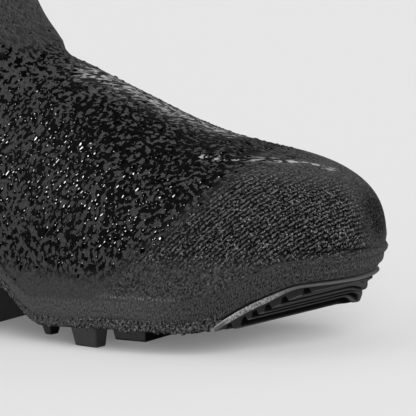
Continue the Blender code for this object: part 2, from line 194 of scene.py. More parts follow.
# %% Floor
FLOOR_REACH, FLOOR_SQUARES = 6.0, 8
paper, tree, shader = new_material("pale_studio_paper")
mirrored = add_node(tree, "ShaderNodeLightPath").outputs["Is Glossy Ray"]
tone = add_node(tree, "ShaderNodeMix", {"Factor": mirrored, 6: PAPER, 7: BLACK_FLAG}, data_type="RGBA")
tree.links.new(tone.outputs[2], shader.inputs["Base Color"])
shader.inputs["Roughness"].default_value = 0.9
shader.inputs["Specular IOR Level"].default_value = 0.0
floor_mesh = bpy.data.meshes.new("floor")
bm = bmesh.new()
bmesh.ops.create_grid(bm, x_segments=FLOOR_SQUARES, y_segments=FLOOR_SQUARES, size=FLOOR_REACH)
bm.to_mesh(floor_mesh)
bm.free()
floor_mesh.materials.append(paper)
floor = add_object("floor", floor_mesh)
for name, suns, state in (("floor_light", floor_suns, "INCLUDE"), ("shoe_light", shoe_suns, "EXCLUDE")):
    lit_set = bpy.data.collections.new(name)
    lit_set.objects.link(floor)
    lit_set.collection_objects[0].light_linking.link_state = state
    for sun in suns:
        sun.light_linking.receiver_collection = lit_set
print("the floor reaches %.0f m" % FLOOR_REACH)

# %% [markdown]
# ## The last
# The cover has no shape of its own: it takes that of the shoe inside. That shape is a last, drawn
# with x from the heel's back to the toe's tip, as rows of a short table. The CAD model is lofted
# from the same rows, so the skin below lies on its solid and only adds what a solid leaves out.

# %% The last's rows
LENGTH = 0.286
COLLAR_HEIGHT = 0.198
TOE_ROUND, HEEL_ROUND, TOE_CROWN_ROUND = 0.078, 0.036, 0.052
END_POWER, CROWN_POWER, LEG_POWER, JOIN_POWER = 2.35, 2.8, 2.15, 8
# x, then height of edge, ledge, widest line and ridge, half width lateral and medial, swing, fullness
LAST = np.array((
    (0.000, 0.0125, 0.0265, 0.0420, 0.0680, 0.0350, 0.0350, 0.0000, 2.30),
    (0.030, 0.0100, 0.0240, 0.0420, 0.0820, 0.0355, 0.0350, 0.0000, 2.30),
    (0.062, 0.0095, 0.0235, 0.0420, 0.1040, 0.0360, 0.0345, 0.0000, 2.20),
    (0.078, 0.0130, 0.0270, 0.0430, 0.1130, 0.0362, 0.0340, 0.0000, 2.10),
    (0.092, 0.0205, 0.0345, 0.0440, 0.1200, 0.0365, 0.0335, 0.0000, 2.05),
    (0.104, 0.0240, 0.0380, 0.0450, 0.1245, 0.0370, 0.0330, 0.0000, 2.00),
    (0.115, 0.0222, 0.0362, 0.0450, 0.1270, 0.0378, 0.0332, 0.0000, 2.00),
    (0.130, 0.0107, 0.0247, 0.0430, 0.1225, 0.0395, 0.0345, 0.0000, 2.00),
    (0.138, 0.0078, 0.0218, 0.0425, 0.1200, 0.0410, 0.0358, 0.0000, 2.00),
    (0.153, 0.0087, 0.0227, 0.0410, 0.1138, 0.0440, 0.0385, 0.0000, 2.00),
    (0.172, 0.0097, 0.0237, 0.0395, 0.1058, 0.0470, 0.0425, 0.0000, 2.02),
    (0.190, 0.0103, 0.0243, 0.0390, 0.0978, 0.0485, 0.0455, 0.0005, 2.05),
    (0.210, 0.0103, 0.0243, 0.0390, 0.0908, 0.0480, 0.0475, 0.0010, 2.10),
    (0.2245, 0.0107, 0.0246, 0.0395, 0.0872, 0.0468, 0.0482, 0.0018, 2.20),
    (0.232, 0.0132, 0.0261, 0.0404, 0.0858, 0.0462, 0.0482, 0.0022, 2.25),
    (0.239, 0.0178, 0.0288, 0.0415, 0.0845, 0.0455, 0.0480, 0.0028, 2.30),
    (0.2545, 0.0262, 0.0358, 0.0440, 0.0815, 0.0447, 0.0472, 0.0040, 2.45),
    (0.269, 0.0315, 0.0400, 0.0455, 0.0785, 0.0440, 0.0465, 0.0050, 2.60),
    (0.280, 0.0320, 0.0412, 0.0462, 0.0770, 0.0440, 0.0460, 0.0055, 2.60),
    (LENGTH, 0.0304, 0.0412, 0.0462, 0.0770, 0.0440, 0.0460, 0.0055, 2.60),
))
# height, front, back and half width of the leg's level rings
LEG = np.array((
    (0.036, 0.0820, 0.0000, 0.0270),
    (0.052, 0.0880, 0.0006, 0.0290),
    (0.068, 0.0960, 0.0036, 0.0310),
    (0.084, 0.1050, 0.0080, 0.0325),
    (0.104, 0.1160, 0.0130, 0.0345),
    (0.122, 0.1240, 0.0155, 0.0355),
    (0.139, 0.1120, 0.0165, 0.0350),
    (0.153, 0.1048, 0.0175, 0.0345),
    (0.172, 0.1002, 0.0180, 0.0342),
    (0.205, 0.0985, 0.0170, 0.0350),
))
print("rows of the foot: %d, of the leg: %d" % (len(LAST), len(LEG)))


# %% Curves through the rows
def curve(x, y):
    """A smooth function through the points of a table, which doesn't overshoot them."""
    step = np.diff(x)
    slope = np.diff(y) / step
    tangent = np.zeros(len(y))
    ahead, behind = 2 * step[1:] + step[:-1], step[1:] + 2 * step[:-1]
    with np.errstate(divide="ignore", invalid="ignore"):
        mean = (ahead + behind) / (ahead / slope[:-1] + behind / slope[1:])
    tangent[1:-1] = np.where(slope[:-1] * slope[1:] > 0, mean, 0.0)
    tangent[0], tangent[-1] = slope[0], slope[-1]

    def at(place):
        place = np.clip(place, x[0], x[-1])
        i = np.clip(np.searchsorted(x, place, side="right") - 1, 0, len(step) - 1)
        t = (place - x[i]) / step[i]
        start = (1 + 2 * t) * (1 - t) ** 2 * y[i] + t * (1 - t) ** 2 * step[i] * tangent[i]
        return start + t * t * (3 - 2 * t) * y[i + 1] + t * t * (t - 1) * step[i] * tangent[i + 1]

    return at


edge_at, ledge_at, widest_at, ridge_row, lateral_at, medial_at, swing_at, fullness_at = (
    curve(LAST[:, 0], LAST[:, k]) for k in range(1, 9)
)
leg_front, leg_back, leg_half = (curve(LEG[:, 0], LEG[:, k]) for k in range(1, 4))
print("ridge over the ball %.1f mm" % (ridge_row(0.19) / MM))

# %% The last's sections
NO_SPAN = 1e-9


def rounded(share, power):
    """1 at share 0, falling to 0 at share 1 as a superellipse does."""
    return (1 - np.clip(share, 0, 1) ** power) ** (1 / power)


def half_width(side, x):
    """Half width at the widest line, on the lateral (-1) or medial (+1) side."""
    core = lateral_at(x) if side < 0 else medial_at(x)
    toe = rounded((x - LENGTH + TOE_ROUND) / TOE_ROUND, END_POWER)
    return core * toe * rounded((HEEL_ROUND - x) / HEEL_ROUND, END_POWER)


def ridge_at(x):
    """Height of the instep's ridge, brought down to the widest line at the toe and heel."""
    toe = rounded((x - LENGTH + TOE_CROWN_ROUND) / TOE_CROWN_ROUND, CROWN_POWER)
    heel = rounded((HEEL_ROUND - x) / HEEL_ROUND, END_POWER)
    return widest_at(x) + (ridge_row(x) - widest_at(x)) * toe * heel


def section_half(side, x, z):
    """Half width of the foot joined to the leg, at station x and height z over the widest line."""
    low = widest_at(x)
    tall = np.maximum(ridge_at(x) - low, NO_SPAN)
    foot = half_width(side, x) * rounded((z - low) / tall, fullness_at(x))
    front, rear = leg_front(z), leg_back(z)
    leg = leg_half(z) * rounded(np.abs(2 * (x - rear) / (front - rear) - 1), LEG_POWER)
    return (foot**JOIN_POWER + leg**JOIN_POWER) ** (1 / JOIN_POWER)


print("width over the ball %.1f mm" % ((half_width(-1, 0.2) + half_width(1, 0.2)) / MM))

# %% [markdown]
# ## Rings of the skin
# A knitted tube is best drawn as rings, from the hem's lip up to the cuff. Below the widest line a
# ring is the outline, inset by the wall's profile. Above it a ring is cut from foot and leg, and
# where the two meet, the stretched cloth bridges the hollow between them. Few rows hold the
# profile, and a smooth curve through them gives the many rings that fine relief needs.

# %% Ring tools
SIDE_POINTS = 160
LINE_POINTS = 800


def evened(points, steps):
    """Points at even distances along an open line."""
    run = np.concatenate([[0], np.cumsum(np.linalg.norm(np.diff(points, axis=0), axis=1))])
    at = np.linspace(0, run[-1], steps + 1)
    return np.stack([np.interp(at, run, points[:, k]) for k in range(3)], axis=1)


def closed_ring(sides, steps=SIDE_POINTS):
    """A ring back along the lateral side and forward along the medial side, no point twice."""
    lateral, medial = (evened(side, steps) for side in sides)
    return np.concatenate([lateral, medial[-2:0:-1]])


def stations(rear, front):
    """Stations from front to rear, crowded at both ends."""
    turn = np.linspace(0, np.pi, LINE_POINTS + 1)
    return rear + (front - rear) * (1 + np.cos(turn)) / 2


def outline(inset):
    """The widest line's plan as two sides, each from toe to heel, moved inwards by an inset."""
    x = stations(0.0, LENGTH)
    sides = []
    for side in (-1, 1):
        line = np.stack([x, swing_at(x) + side * half_width(side, x)], axis=1)
        along = np.gradient(line, axis=0)
        along[0], along[-1] = (0, side), (0, -side)
        along /= np.linalg.norm(along, axis=1)[:, None]
        sides.append(line + np.stack([along[:, 1], -along[:, 0]], axis=1) * -side * inset)
    return sides


def outline_ring(inset, height_of, steps=SIDE_POINTS):
    """A ring all round the last at a height that follows its length."""
    return closed_ring([np.column_stack([s, height_of(s[:, 0])]) for s in outline(inset)], steps)


print("points on a ring:", 2 * SIDE_POINTS)


# %% Stretched rings
def bridged(x, half):
    """Half widths of a stretched ring: its cloth bridges the hollows of the form inside it."""
    kept = []
    for point in zip(x[::-1], half[::-1]):
        while len(kept) > 1:
            (x0, y0), (x1, y1) = kept[-2:]
            if (x1 - x0) * (point[1] - y0) < (y1 - y0) * (point[0] - x0):
                break
            kept.pop()
        kept.append(point)
    kept = np.array(kept)
    return np.interp(x, kept[:, 0], kept[:, 1])


def level_ring(z, share):
    """A ring above the widest line: share says how far it has come to lie level at height z."""
    x = np.linspace(0, LENGTH, 4 * LINE_POINTS + 1)
    line = widest_at(x) + (z - widest_at(x)) * share
    reach = np.maximum(ridge_at(x) - line, np.minimum(x - leg_back(line), leg_front(line) - x))
    inside = np.flatnonzero(reach > 0)
    ends = []
    for i, j in ((inside[0], inside[0] - 1), (inside[-1], inside[-1] + 1)):
        j = np.clip(j, 0, len(x) - 1)
        ends.append(x[i] + (x[j] - x[i]) * reach[i] / max(reach[i] - reach[j], NO_SPAN))
    x = stations(*ends)
    line = widest_at(x) + (z - widest_at(x)) * share
    sides = []
    for side in (-1, 1):
        half = section_half(side, x, line)
        half += share * (bridged(x, half) - half)
        half[0] = half[-1] = 0.0
        sides.append(np.stack([x, swing_at(x) + side * half, line], axis=1))
    return closed_ring(sides)


print("a ring through the ankle is %.0f mm long" % (np.ptp(level_ring(0.11, 1.0)[:, 0]) / MM))

# %% Rows of the wall
# rise above the edge under a full ledge, share of the way from ledge to widest line, inset, and the
# number of rings up to the next row
WALL_ROWS = np.array((
    (0.0006, 0.00, 0.0084, 2),
    (0.0000, 0.00, 0.0064, 3),
    (0.0010, 0.00, 0.0049, 3),
    (0.0028, 0.00, 0.0042, 3),
    (0.0048, 0.00, 0.0044, 4),
    (0.0080, 0.00, 0.0025, 4),
    (0.0116, 0.00, 0.0011, 3),
    (0.0130, 0.00, 0.0011, 3),
    (0.0140, 0.00, 0.0022, 5),
    (0.0140, 0.35, 0.0008, 8),
    (0.0140, 1.00, 0.0000, 1),
))
# height that a ring tends to, and how level it lies by then
BLEND_ROWS = np.array((
    (0.059, 0.0), (0.060, 0.22), (0.062, 0.50), (0.066, 0.75), (0.070, 0.92), (0.074, 1.0),
))
BLEND_RINGS = 5
# the level rings lie closer on the instep than on the leg
INSTEP_LEVELS, LEG_LEVELS = np.arange(0.0746, 0.1285, 0.0006), np.linspace(0.1295, COLLAR_HEIGHT, 46)


def refined(rows, counts):
    """Rows of a table with counts[i] - 1 smooth rows added after row i."""
    index = np.arange(len(rows), dtype=float)
    at = [np.linspace(i, i + 1, int(n), endpoint=False) for i, n in enumerate(counts[:-1])]
    at = np.concatenate(at + [index[-1:]])
    return np.stack([curve(index, rows[:, k])(at) for k in range(rows.shape[1])], axis=1)


print("rows of the wall:", len(WALL_ROWS))

# %% Loft the rings
LEDGE_RISE, HEM_DROP, DROP_SPAN = 0.0140, 0.0002, (0.246, 0.274)


def soft_step(value, start, end):
    """0 before start, 1 after end, with a smooth rise between them."""
    share = np.clip((value - start) / (end - start), 0, 1)
    return share * share * (3 - 2 * share)


def hem_drop(x):
    """How far the hem is drawn down over the bumper's lip at the toe."""
    return HEM_DROP * soft_step(x, *DROP_SPAN)


def wall_height(rise, share):
    """The height of a ring of the lower wall, as a function of its station."""

    def height(x):
        low = edge_at(x) - hem_drop(x) + (ledge_at(x) - edge_at(x) + hem_drop(x)) * rise / LEDGE_RISE
        return low + share * (widest_at(x) - ledge_at(x))

    return height


rings = []
for rise, share, inset in refined(WALL_ROWS[:, :3], WALL_ROWS[:, 3]):
    rings.append(outline_ring(inset, wall_height(rise, share)))
wall_count = len(rings)
for z, share in refined(BLEND_ROWS, [BLEND_RINGS] * len(BLEND_ROWS))[1:]:
    rings.append(level_ring(z, share))
for z in np.concatenate([INSTEP_LEVELS, LEG_LEVELS]):
    rings.append(level_ring(z, 1.0))
skin = np.array(rings)
print("rings: %d of the wall, %d in all" % (wall_count, len(skin)))

# %% [markdown]
# ## Relief of the cloth
# The cloth is smoothed a little, as stretched cloth is, and then moved along its normals. Sculpting or
# a cloth simulation could crease it, but not just where the photo does. So the main creases are given
# as soft troughs and ridges: three across the bend of the ankle, one low on each side of the
# heel, and two shallow grooves round the tip of the toe. The cuff's band is a step with fine upright
# ribs. At the toe the ledge and the band below it are filled out, because the cloth is taut there.

# %% Smooth the skin
SMOOTHING, PULL = 10, 0.5
# rings before and after the wall's last one over which the smoothing comes in, and rings at the cuff's
# edge over which it fades
SOFT_BEFORE, SOFT_AFTER, CUFF_FADE = 3, 6, 8


def smoothed(grid, weight):
    """One pass that moves each point of the skin towards the middle of its neighbours."""
    around = (np.roll(grid, 1, axis=1) + np.roll(grid, -1, axis=1)) / 2
    beside = grid.copy()
    beside[1:-1] = (grid[2:] + grid[:-2]) / 2
    return grid + weight[:, None, None] * ((around + beside) / 2 - grid) * PULL


def skin_normals(grid):
    """Outward unit normals of the skin's grid."""
    around = np.roll(grid, -1, axis=1) - np.roll(grid, 1, axis=1)
    normal = np.cross(np.gradient(grid, axis=0), around)
    return normal / np.maximum(np.linalg.norm(normal, axis=2, keepdims=True), 1e-12)


# The wall's crisp profile and the cuff's edge stay as they are.
order = np.arange(len(skin))
soft = soft_step(order, wall_count - SOFT_BEFORE, wall_count + SOFT_AFTER)
soft *= 1 - soft_step(order, len(skin) - CUFF_FADE, len(skin) - 1)
for _ in range(SMOOTHING):
    skin = smoothed(skin, soft)
print("smoothed %d times" % SMOOTHING)

# %% Crease the skin
# width and height of each crease in metres, below 0 for a trough, then points on its path
CREASES = (
    (0.0055, 0.0011, (
        (0.112, -0.026, 0.124), (0.121, -0.013, 0.1265), (0.1235, 0.0, 0.127), (0.118, 0.018, 0.125))),
    (0.0045, -0.0012, (
        (0.103, -0.030, 0.131), (0.113, -0.016, 0.134), (0.1165, 0.0, 0.135), (0.110, 0.018, 0.133))),
    (0.0050, 0.0008, (
        (0.096, -0.032, 0.139), (0.108, -0.017, 0.142), (0.111, 0.0, 0.143), (0.105, 0.018, 0.141))),
    (0.0050, -0.0007, ((0.022, -0.034, 0.086), (0.052, -0.038, 0.080), (0.084, -0.038, 0.086))),
    (0.0050, -0.0007, ((0.024, 0.033, 0.088), (0.054, 0.036, 0.081), (0.086, 0.036, 0.088))),
    (0.0011, -0.0003, ((0.2790, -0.0075, 0.0478), (0.2825, -0.0035, 0.0482), (0.2848, 0.0020, 0.0485))),
    (0.0011, -0.0004, ((0.2660, -0.0280, 0.0442), (0.2750, -0.0203, 0.0451), (0.2815, -0.0120, 0.0453),
                       (0.2852, 0.0035, 0.0440))),
)
PATH_POINTS, PATH_FADE = 60, 0.2


def bell(gap, width):
    """1 at no gap, falling to 0 within about twice the width."""
    return np.exp(-((gap / width) ** 2))


normals = skin_normals(skin)
relief = np.zeros(skin.shape[:2])
for width, height, path in CREASES:
    path = np.array(path)
    run = np.concatenate([[0], np.cumsum(np.linalg.norm(np.diff(path, axis=0), axis=1))])
    at = np.linspace(0, run[-1], PATH_POINTS)
    line = np.stack([curve(run, path[:, k])(at) for k in range(3)], axis=1)
    fade = soft_step(np.minimum(at, run[-1] - at), 0, PATH_FADE * run[-1])
    away = np.full(skin.shape[:2], 1.0)
    strength = np.zeros(skin.shape[:2])
    for point, share in zip(line, fade):
        gap = np.linalg.norm(skin - point, axis=2)
        nearer = gap < away
        away[nearer] = gap[nearer]
        strength[nearer] = share
    relief += height * strength * bell(away, width)
print("creases:", len(CREASES))

# %% Cuff band and taut toe
CUFF_FROM, CUFF_SOFT, CUFF_STEP, CUFF_RIB, CUFF_RIB_PITCH = 0.1860, 0.0008, 0.0008, 0.00028, 0.0034
# how far the toe is filled out, at which height over the ledge and within which width
TOE_FILLS = ((0.0024, 0.0, 0.0011), (0.0015, -0.0052, 0.0018))
TAUT_SPAN = (0.236, 0.262)
cuff_band = soft_step(skin[:, :, 2], CUFF_FROM - CUFF_SOFT, CUFF_FROM + CUFF_SOFT)
cuff_round = np.linalg.norm(np.diff(skin[-1], axis=0), axis=1).sum()
rib_phase = np.linspace(0, 2 * np.pi, 2 * SIDE_POINTS, endpoint=False) * round(cuff_round / CUFF_RIB_PITCH)
relief += cuff_band * (CUFF_STEP + CUFF_RIB * np.cos(rib_phase)[None, :])
over_ledge = skin[:, :, 2] - ledge_at(skin[:, :, 0])
for height, middle, width in TOE_FILLS:
    relief += height * bell(over_ledge - middle, width) * soft_step(skin[:, :, 0], *TAUT_SPAN)
skin = skin + normals * relief[:, :, None]
print("relief from %.2f to %.2f mm" % (relief.min() / MM, relief.max() / MM))

# %% [markdown]
# ## Zones of the cloth
# The cover is knitted in one go, but its parts look different: a body with standing rain, a ribbed
# toe, a plain cuff and a side band. Painted masks would need image textures. Here each zone is worked
# out from the skin's own heights, stations and slopes, and kept as an attribute of the mesh that the
# material and the rain read. All spans below are in metres, read off the photo.

# %% Main zones
# how far in and up the two rings lie that round off the cuff's top
CUFF_RIM = ((0.0003, 0.0007), (0.0010, 0.0010))
# height, and the station where the wet body gives way to the ribbed toe
TOE_EDGE = np.array((
    (0.028, 0.186), (0.037, 0.192), (0.045, 0.204), (0.055, 0.218),
    (0.066, 0.230), (0.074, 0.238), (0.092, 0.243),
))
TOE_BLUR = 0.008
outer = skin_normals(skin)
skin = np.concatenate([skin, [skin[-1] - outer[-1] * inset + (0, 0, rise) for inset, rise in CUFF_RIM]])
outer = np.concatenate([outer, outer[-1:], outer[-1:]])
x, y, z = skin[:, :, 0], skin[:, :, 1], skin[:, :, 2]
over_ledge = z - ledge_at(x)
facing_up = outer[:, :, 2]
toe = soft_step(x - curve(*TOE_EDGE.T)(z), -TOE_BLUR, TOE_BLUR)
cuff = soft_step(z, 0.121, 0.136)
band = 1 - soft_step(over_ledge, -0.0005, 0.0015)
low_side = 1 - soft_step(z, 0.027, 0.039)
flat_top = soft_step(facing_up, 0.72, 0.95)
far_tip = soft_step(x, 0.262, 0.275) * soft_step(y, -0.004, 0.008)
ribbed = toe * soft_step(z, 0.036, 0.047) * (1 - flat_top) * (1 - 0.85 * far_tip)
print("share of the toe %.2f, of the side band %.2f" % (toe.mean(), band.mean()))

# %% Painted sheen stripes
# width of a stripe of painted sheen along the instep's ridge and the toe's shoulder, then its path
SHINE = (
    (0.0080, ((0.150, -0.002, 0.1145), (0.167, 0.002, 0.1078), (0.196, 0.005, 0.0952),
              (0.214, 0.008, 0.0893))),
    (0.0017, ((0.219, -0.0215, 0.0834), (0.236, -0.0155, 0.0824), (0.2504, -0.0068, 0.0809),
              (0.266, 0.010, 0.0757))),
)


def near_path(width, path):
    """1 on a path over the skin, falling to 0 within about twice the width."""
    path = np.array(path)
    near = np.zeros(skin.shape[:2])
    for start, stop in zip(path, path[1:]):
        share = np.clip((skin - start) @ (stop - start) / ((stop - start) @ (stop - start)), 0, 1)
        gap = np.linalg.norm(skin - start - share[:, :, None] * (stop - start), axis=2)
        near = np.maximum(near, bell(gap, width))
    return near


shine = [near_path(*stripe) for stripe in SHINE]
print("worn stripes:", len(shine))

# %% Small zones
# place across the toe, and height there of the painted shade line in the toe's fold
NOTCH = np.array(((-0.026, 0.0440), (-0.022, 0.0449), (-0.0151, 0.0453), (0.0035, 0.0439), (0.010, 0.0436)))
# widths of the painted shade line in the toe's fold and of the painted glints along the ledge, and the
# glints' height over the ledge
NOTCH_WIDTH, LEDGE_GLINT_WIDTH, LEDGE_GLINT_OVER = 0.0005, 0.0009, 0.0012
behind = 1 - soft_step(x, 0.120, 0.150)
level = soft_step(facing_up, 0.05, 0.70) * (1 - soft_step(z, 0.096, 0.112))
dark_patch = bell(y - 0.016, 0.011) * bell(z - 0.056, 0.010)
ball = soft_step(x, 0.172, 0.186) * (1 - soft_step(x, 0.212, 0.226))
fold = soft_step(x, 0.262, 0.270) * soft_step(y, -0.027, -0.023) * (1 - soft_step(y, 0.004, 0.010))
toe_top = soft_step(z, 0.0775, 0.0815) * soft_step(x, 0.196, 0.214) * (1 - soft_step(x, 0.252, 0.266))
# The hem's lip curls under and is painted dark as shade up to this height over the edge, which is lower at
# the toe.
hem_lip_shade_top = 0.0018 - 0.0012 * soft_step(x, 0.246, 0.262)
ZONES = {
    # the wet body, thinned out under the painted sheen on the instep
    "wet": (1 - cuff) * (1 - toe) * (1 - low_side) * (1 - 0.75 * shine[0]),
    "pooling": 0.45 + 0.55 * level - 0.45 * behind,
    "toe": toe * (1 - band),
    "ribbed": ribbed,
    "patch": np.minimum(1.5 * dark_patch, 1.0) * soft_step(x, 0.270, 0.277),
    "cuff": cuff,
    "band": band,
    "toe_band": band * soft_step(x, 0.196, 0.236),
    "hem_lip_shade": 1 - soft_step(z - edge_at(x), 0.0001, hem_lip_shade_top),
    # painted sheen along the instep's ridge and the toe's shoulder
    "shine": np.maximum(*shine),
    # painted glints along the ledge over the ball
    "ledge": bell(over_ledge - LEDGE_GLINT_OVER, LEDGE_GLINT_WIDTH) * ball,
    # a painted shade line in the toe's fold
    "notch": bell(z - curve(*NOTCH.T)(y), NOTCH_WIDTH) * fold,
    # painted shade in dark streaks between the painted sheen and on the toe's top
    "shade_streak_zone": np.maximum(shine[0], toe_top),
}
print("zones:", {name: round(float(share.mean()), 2) for name, share in ZONES.items()})

# %% [markdown]
# The rows of the knit climb steeply over the body and lie flatter towards the toe. So a second set of
# coordinates turns with them: the first runs along a row, the last across the rows. Noise that is read
# in these coordinates slants as the rows do, and it has the same grain everywhere.

# %% Coordinates along the rows
# station, and slope of the rows there in degrees
ROW_SLOPE = np.array((
    (0.000, 58.0), (0.120, 55.0), (0.170, 50.0), (0.200, 47.0), (0.230, 43.0), (0.260, 36.0), (0.286, 28.0),
))
ROW_LEVEL = 0.055
fine_x = np.linspace(0, LENGTH, LINE_POINTS + 1)
fine_slope = np.radians(curve(*ROW_SLOPE.T)(fine_x))
step_x = fine_x[1] - fine_x[0]
along_run = np.cumsum(np.cos(fine_slope)) * step_x
across_run = np.cumsum(np.sin(fine_slope)) * step_x
slope = np.interp(x, fine_x, fine_slope)
row_along = np.interp(x, fine_x, along_run) + (z - ROW_LEVEL) * np.sin(slope)
row_across = (z - ROW_LEVEL) * np.cos(slope) - np.interp(x, fine_x, across_run)
row_place = np.stack([row_along, y, row_across], axis=2)
row_course = np.stack([np.cos(slope), 0 * slope, np.sin(slope)], axis=2)
print("rows span %.0f mm" % (np.ptp(row_across) / MM))

# %% [markdown]
# ## The knitted cover's mesh
# A Solidify modifier could give the cloth its thickness, with a lining as fine as the skin. But only
# the lining's top shows, so it can be four times coarser. Both skins are laid here, and joined at the
# cuff and at the hem's lip, so the cover is one closed wall 2 mm thick. Its grid gives it a map in
# metres for the band's upright grain.

# %% Points and faces of the cover
WALL = 0.0020
COARSE = 4


def grid_faces(rows, around):
    """Quads of a closed grid, given as rings of points one after the other."""
    r, i = np.meshgrid(np.arange(rows - 1), np.arange(around), indexing="ij")
    j = (i + 1) % around
    quads = [r * around + i, (r + 1) * around + i, (r + 1) * around + j, r * around + j]
    return np.stack(quads, axis=2).reshape(-1, 4)


rows, around = skin.shape[:2]
inner_rows = np.unique(np.concatenate([np.arange(0, rows - 2, COARSE), [rows - 3]]))
lining = (skin - outer * WALL)[inner_rows][:, ::COARSE]
points = np.concatenate([skin.reshape(-1, 3), lining.reshape(-1, 3)])
first, few = rows * around, around // COARSE
faces = grid_faces(rows, around).tolist()
faces += (grid_faces(len(inner_rows), few)[:, [0, 3, 2, 1]] + first).tolist()
top, inner_top = first - around, len(points) - few
for k in range(few):
    run = [(k * COARSE + n) % around for n in range(COARSE + 1)]
    after = (k + 1) % few
    faces.append([top + n for n in run[::-1]] + [inner_top + k, inner_top + after])
    faces.append(run + [first + after, first + k])
print("cover: %d triangles" % sum(len(face) - 2 for face in faces))

# %% Map of the cover
# The map's u runs along a ring from the toe's tip, below 0 on the lateral side. Its v climbs the skin.
arc = np.linalg.norm(np.diff(skin, axis=1, append=skin[:, :1]), axis=2)
arc = np.concatenate([np.zeros((rows, 1)), np.cumsum(arc, axis=1)], axis=1)
climb = np.linalg.norm(np.diff(skin, axis=0), axis=2)
climb = np.concatenate([np.zeros((1, around)), np.cumsum(climb, axis=0)])
climb = np.concatenate([climb, climb[:, :1]], axis=1)
corners = []
for start, u in ((0, -arc), (SIDE_POINTS, arc[:, -1:] - arc)):
    block = np.stack([u, climb], axis=2)[:, start:start + SIDE_POINTS + 1]
    corners.append(np.stack([block[:-1, :-1], block[1:, :-1], block[1:, 1:], block[:-1, 1:]], axis=2))
loops = np.concatenate(corners, axis=1).reshape(-1, 2)
print("the map climbs %.0f mm" % (climb.max() / MM))

# %% Mesh of the cover
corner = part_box("upper")[0]
shift = np.array((corner[0], corner[1] - y.min(), 0.0))
cover_mesh = bpy.data.meshes.new("knitted_cover")
cover_mesh.from_pydata((points + shift).tolist(), [], faces)
cover_mesh.shade_smooth()
hidden = len(points) - first
for name, share in ZONES.items():
    values = np.concatenate([share.ravel(), np.zeros(hidden)])
    cover_mesh.attributes.new(name, "FLOAT", "POINT").data.foreach_set("value", values)
for name, vectors in (("row_place", row_place), ("row_course", row_course)):
    values = np.concatenate([vectors.ravel(), np.zeros(3 * hidden)])
    cover_mesh.attributes.new(name, "FLOAT_VECTOR", "POINT").data.foreach_set("vector", values)
mapped = np.zeros((len(cover_mesh.loops), 2))
mapped[:len(loops)] = loops
cover_mesh.uv_layers.new(name="knit_map").data.foreach_set("uv", mapped.ravel())
cover = add_object("knitted_cover", cover_mesh)
print("attributes of the cover:", len(cover_mesh.attributes))

# %% [markdown]
# ## The wet knit
# The cloth is a polyester and elastane stretch knit with a water-repellent finish. Dry, it is a dull
# dark grey with a fine grain. Rain doesn't soak in evenly: it stands in black glossy blotches with
# scalloped edges, most of them where the cloth faces up. The toe is knitted coarser, and its rows show
# as broken slanted dashes. The side band has a fine upright grain. One noise for all of it would look
# the same everywhere, so several grains are made first, then soft rises of them, and at the end the
# tones are laid over each other zone by zone, like coats of paint.

# %% Grains of the knit
knit, tree, shader = new_material("wet_stretch_knit")
field = {name: add_node(tree, "ShaderNodeAttribute", attribute_name=name).outputs["Fac"] for name in ZONES}
row = add_node(tree, "ShaderNodeAttribute", attribute_name="row_place").outputs["Vector"]
knit_map = add_node(tree, "ShaderNodeUVMap", uv_map="knit_map").outputs[0]
place = add_node(tree, "ShaderNodeTexCoord").outputs["Object"]
ROW_STRETCH = (1.45, 1, 1)


def grains(size, detail, roughness=0.6, distortion=0.0):
    """Settings of a noise with grains of this size in millimetres."""
    return {"Scale": 1 / (size * MM), "Detail": detail, "Roughness": roughness, "Distortion": distortion}


BLOTCH = grains(1.85, 2.0, 0.5, 0.4)
# coordinates, how far they draw the grain out, their turn in degrees, and the noise. A stitch is about
# 0.3 mm wide, too fine to show, so the grains are drawn as coarse as they need.
GRAINS = {
    "blotch": (row, ROW_STRETCH, 0, BLOTCH),
    "cluster": (row, ROW_STRETCH, 0, grains(7.0, 1.0)),
    "fine": (row, ROW_STRETCH, 0, grains(0.9, 2.0)),
    "speck": (row, ROW_STRETCH, 0, grains(0.8, 1.0)),
    "dash": (row, (2.0, 1.2, 1), 0, grains(0.70, 2.0, 0.6, 0.3)),
    "wrinkle": (row, (1, 1, 6.0), 0, grains(0.8, 2.0, 0.7)),
    "upright": (knit_map, (1, 2.5, 1), 0, grains(0.6, 2.0, 0.75)),
    "streak": (place, (4.0, 1.0, 1.3), 42, grains(1.15, 1.0, 0.5)),
}
for name, (source, stretch, turn, settings) in GRAINS.items():
    drawn = add_node(tree, "ShaderNodeMapping", {
        "Vector": source, "Rotation": (0, 0, np.radians(turn)), "Scale": stretch,
    }, vector_type="TEXTURE").outputs[0]
    field[name] = add_node(tree, "ShaderNodeTexNoise", {"Vector": drawn, **settings}).outputs["Fac"]
WAVE_PERIOD, RIB_PITCH = 2 * np.pi / 20, 1.75 * MM
field["wave"] = add_node(tree, "ShaderNodeTexWave", {
    "Vector": row, "Scale": WAVE_PERIOD / RIB_PITCH, "Distortion": 3.0, "Detail": 2.0, "Detail Scale": 2.2,
}, wave_type="BANDS", bands_direction="Z").outputs["Fac"]
print("fields of the knit:", len(field))

# %% Rises of the grains
EDGE_DRY, EDGE_POOLED, EDGE_SOFT, CLUSTER_SWING = 0.512, 0.454, 0.012, 0.16
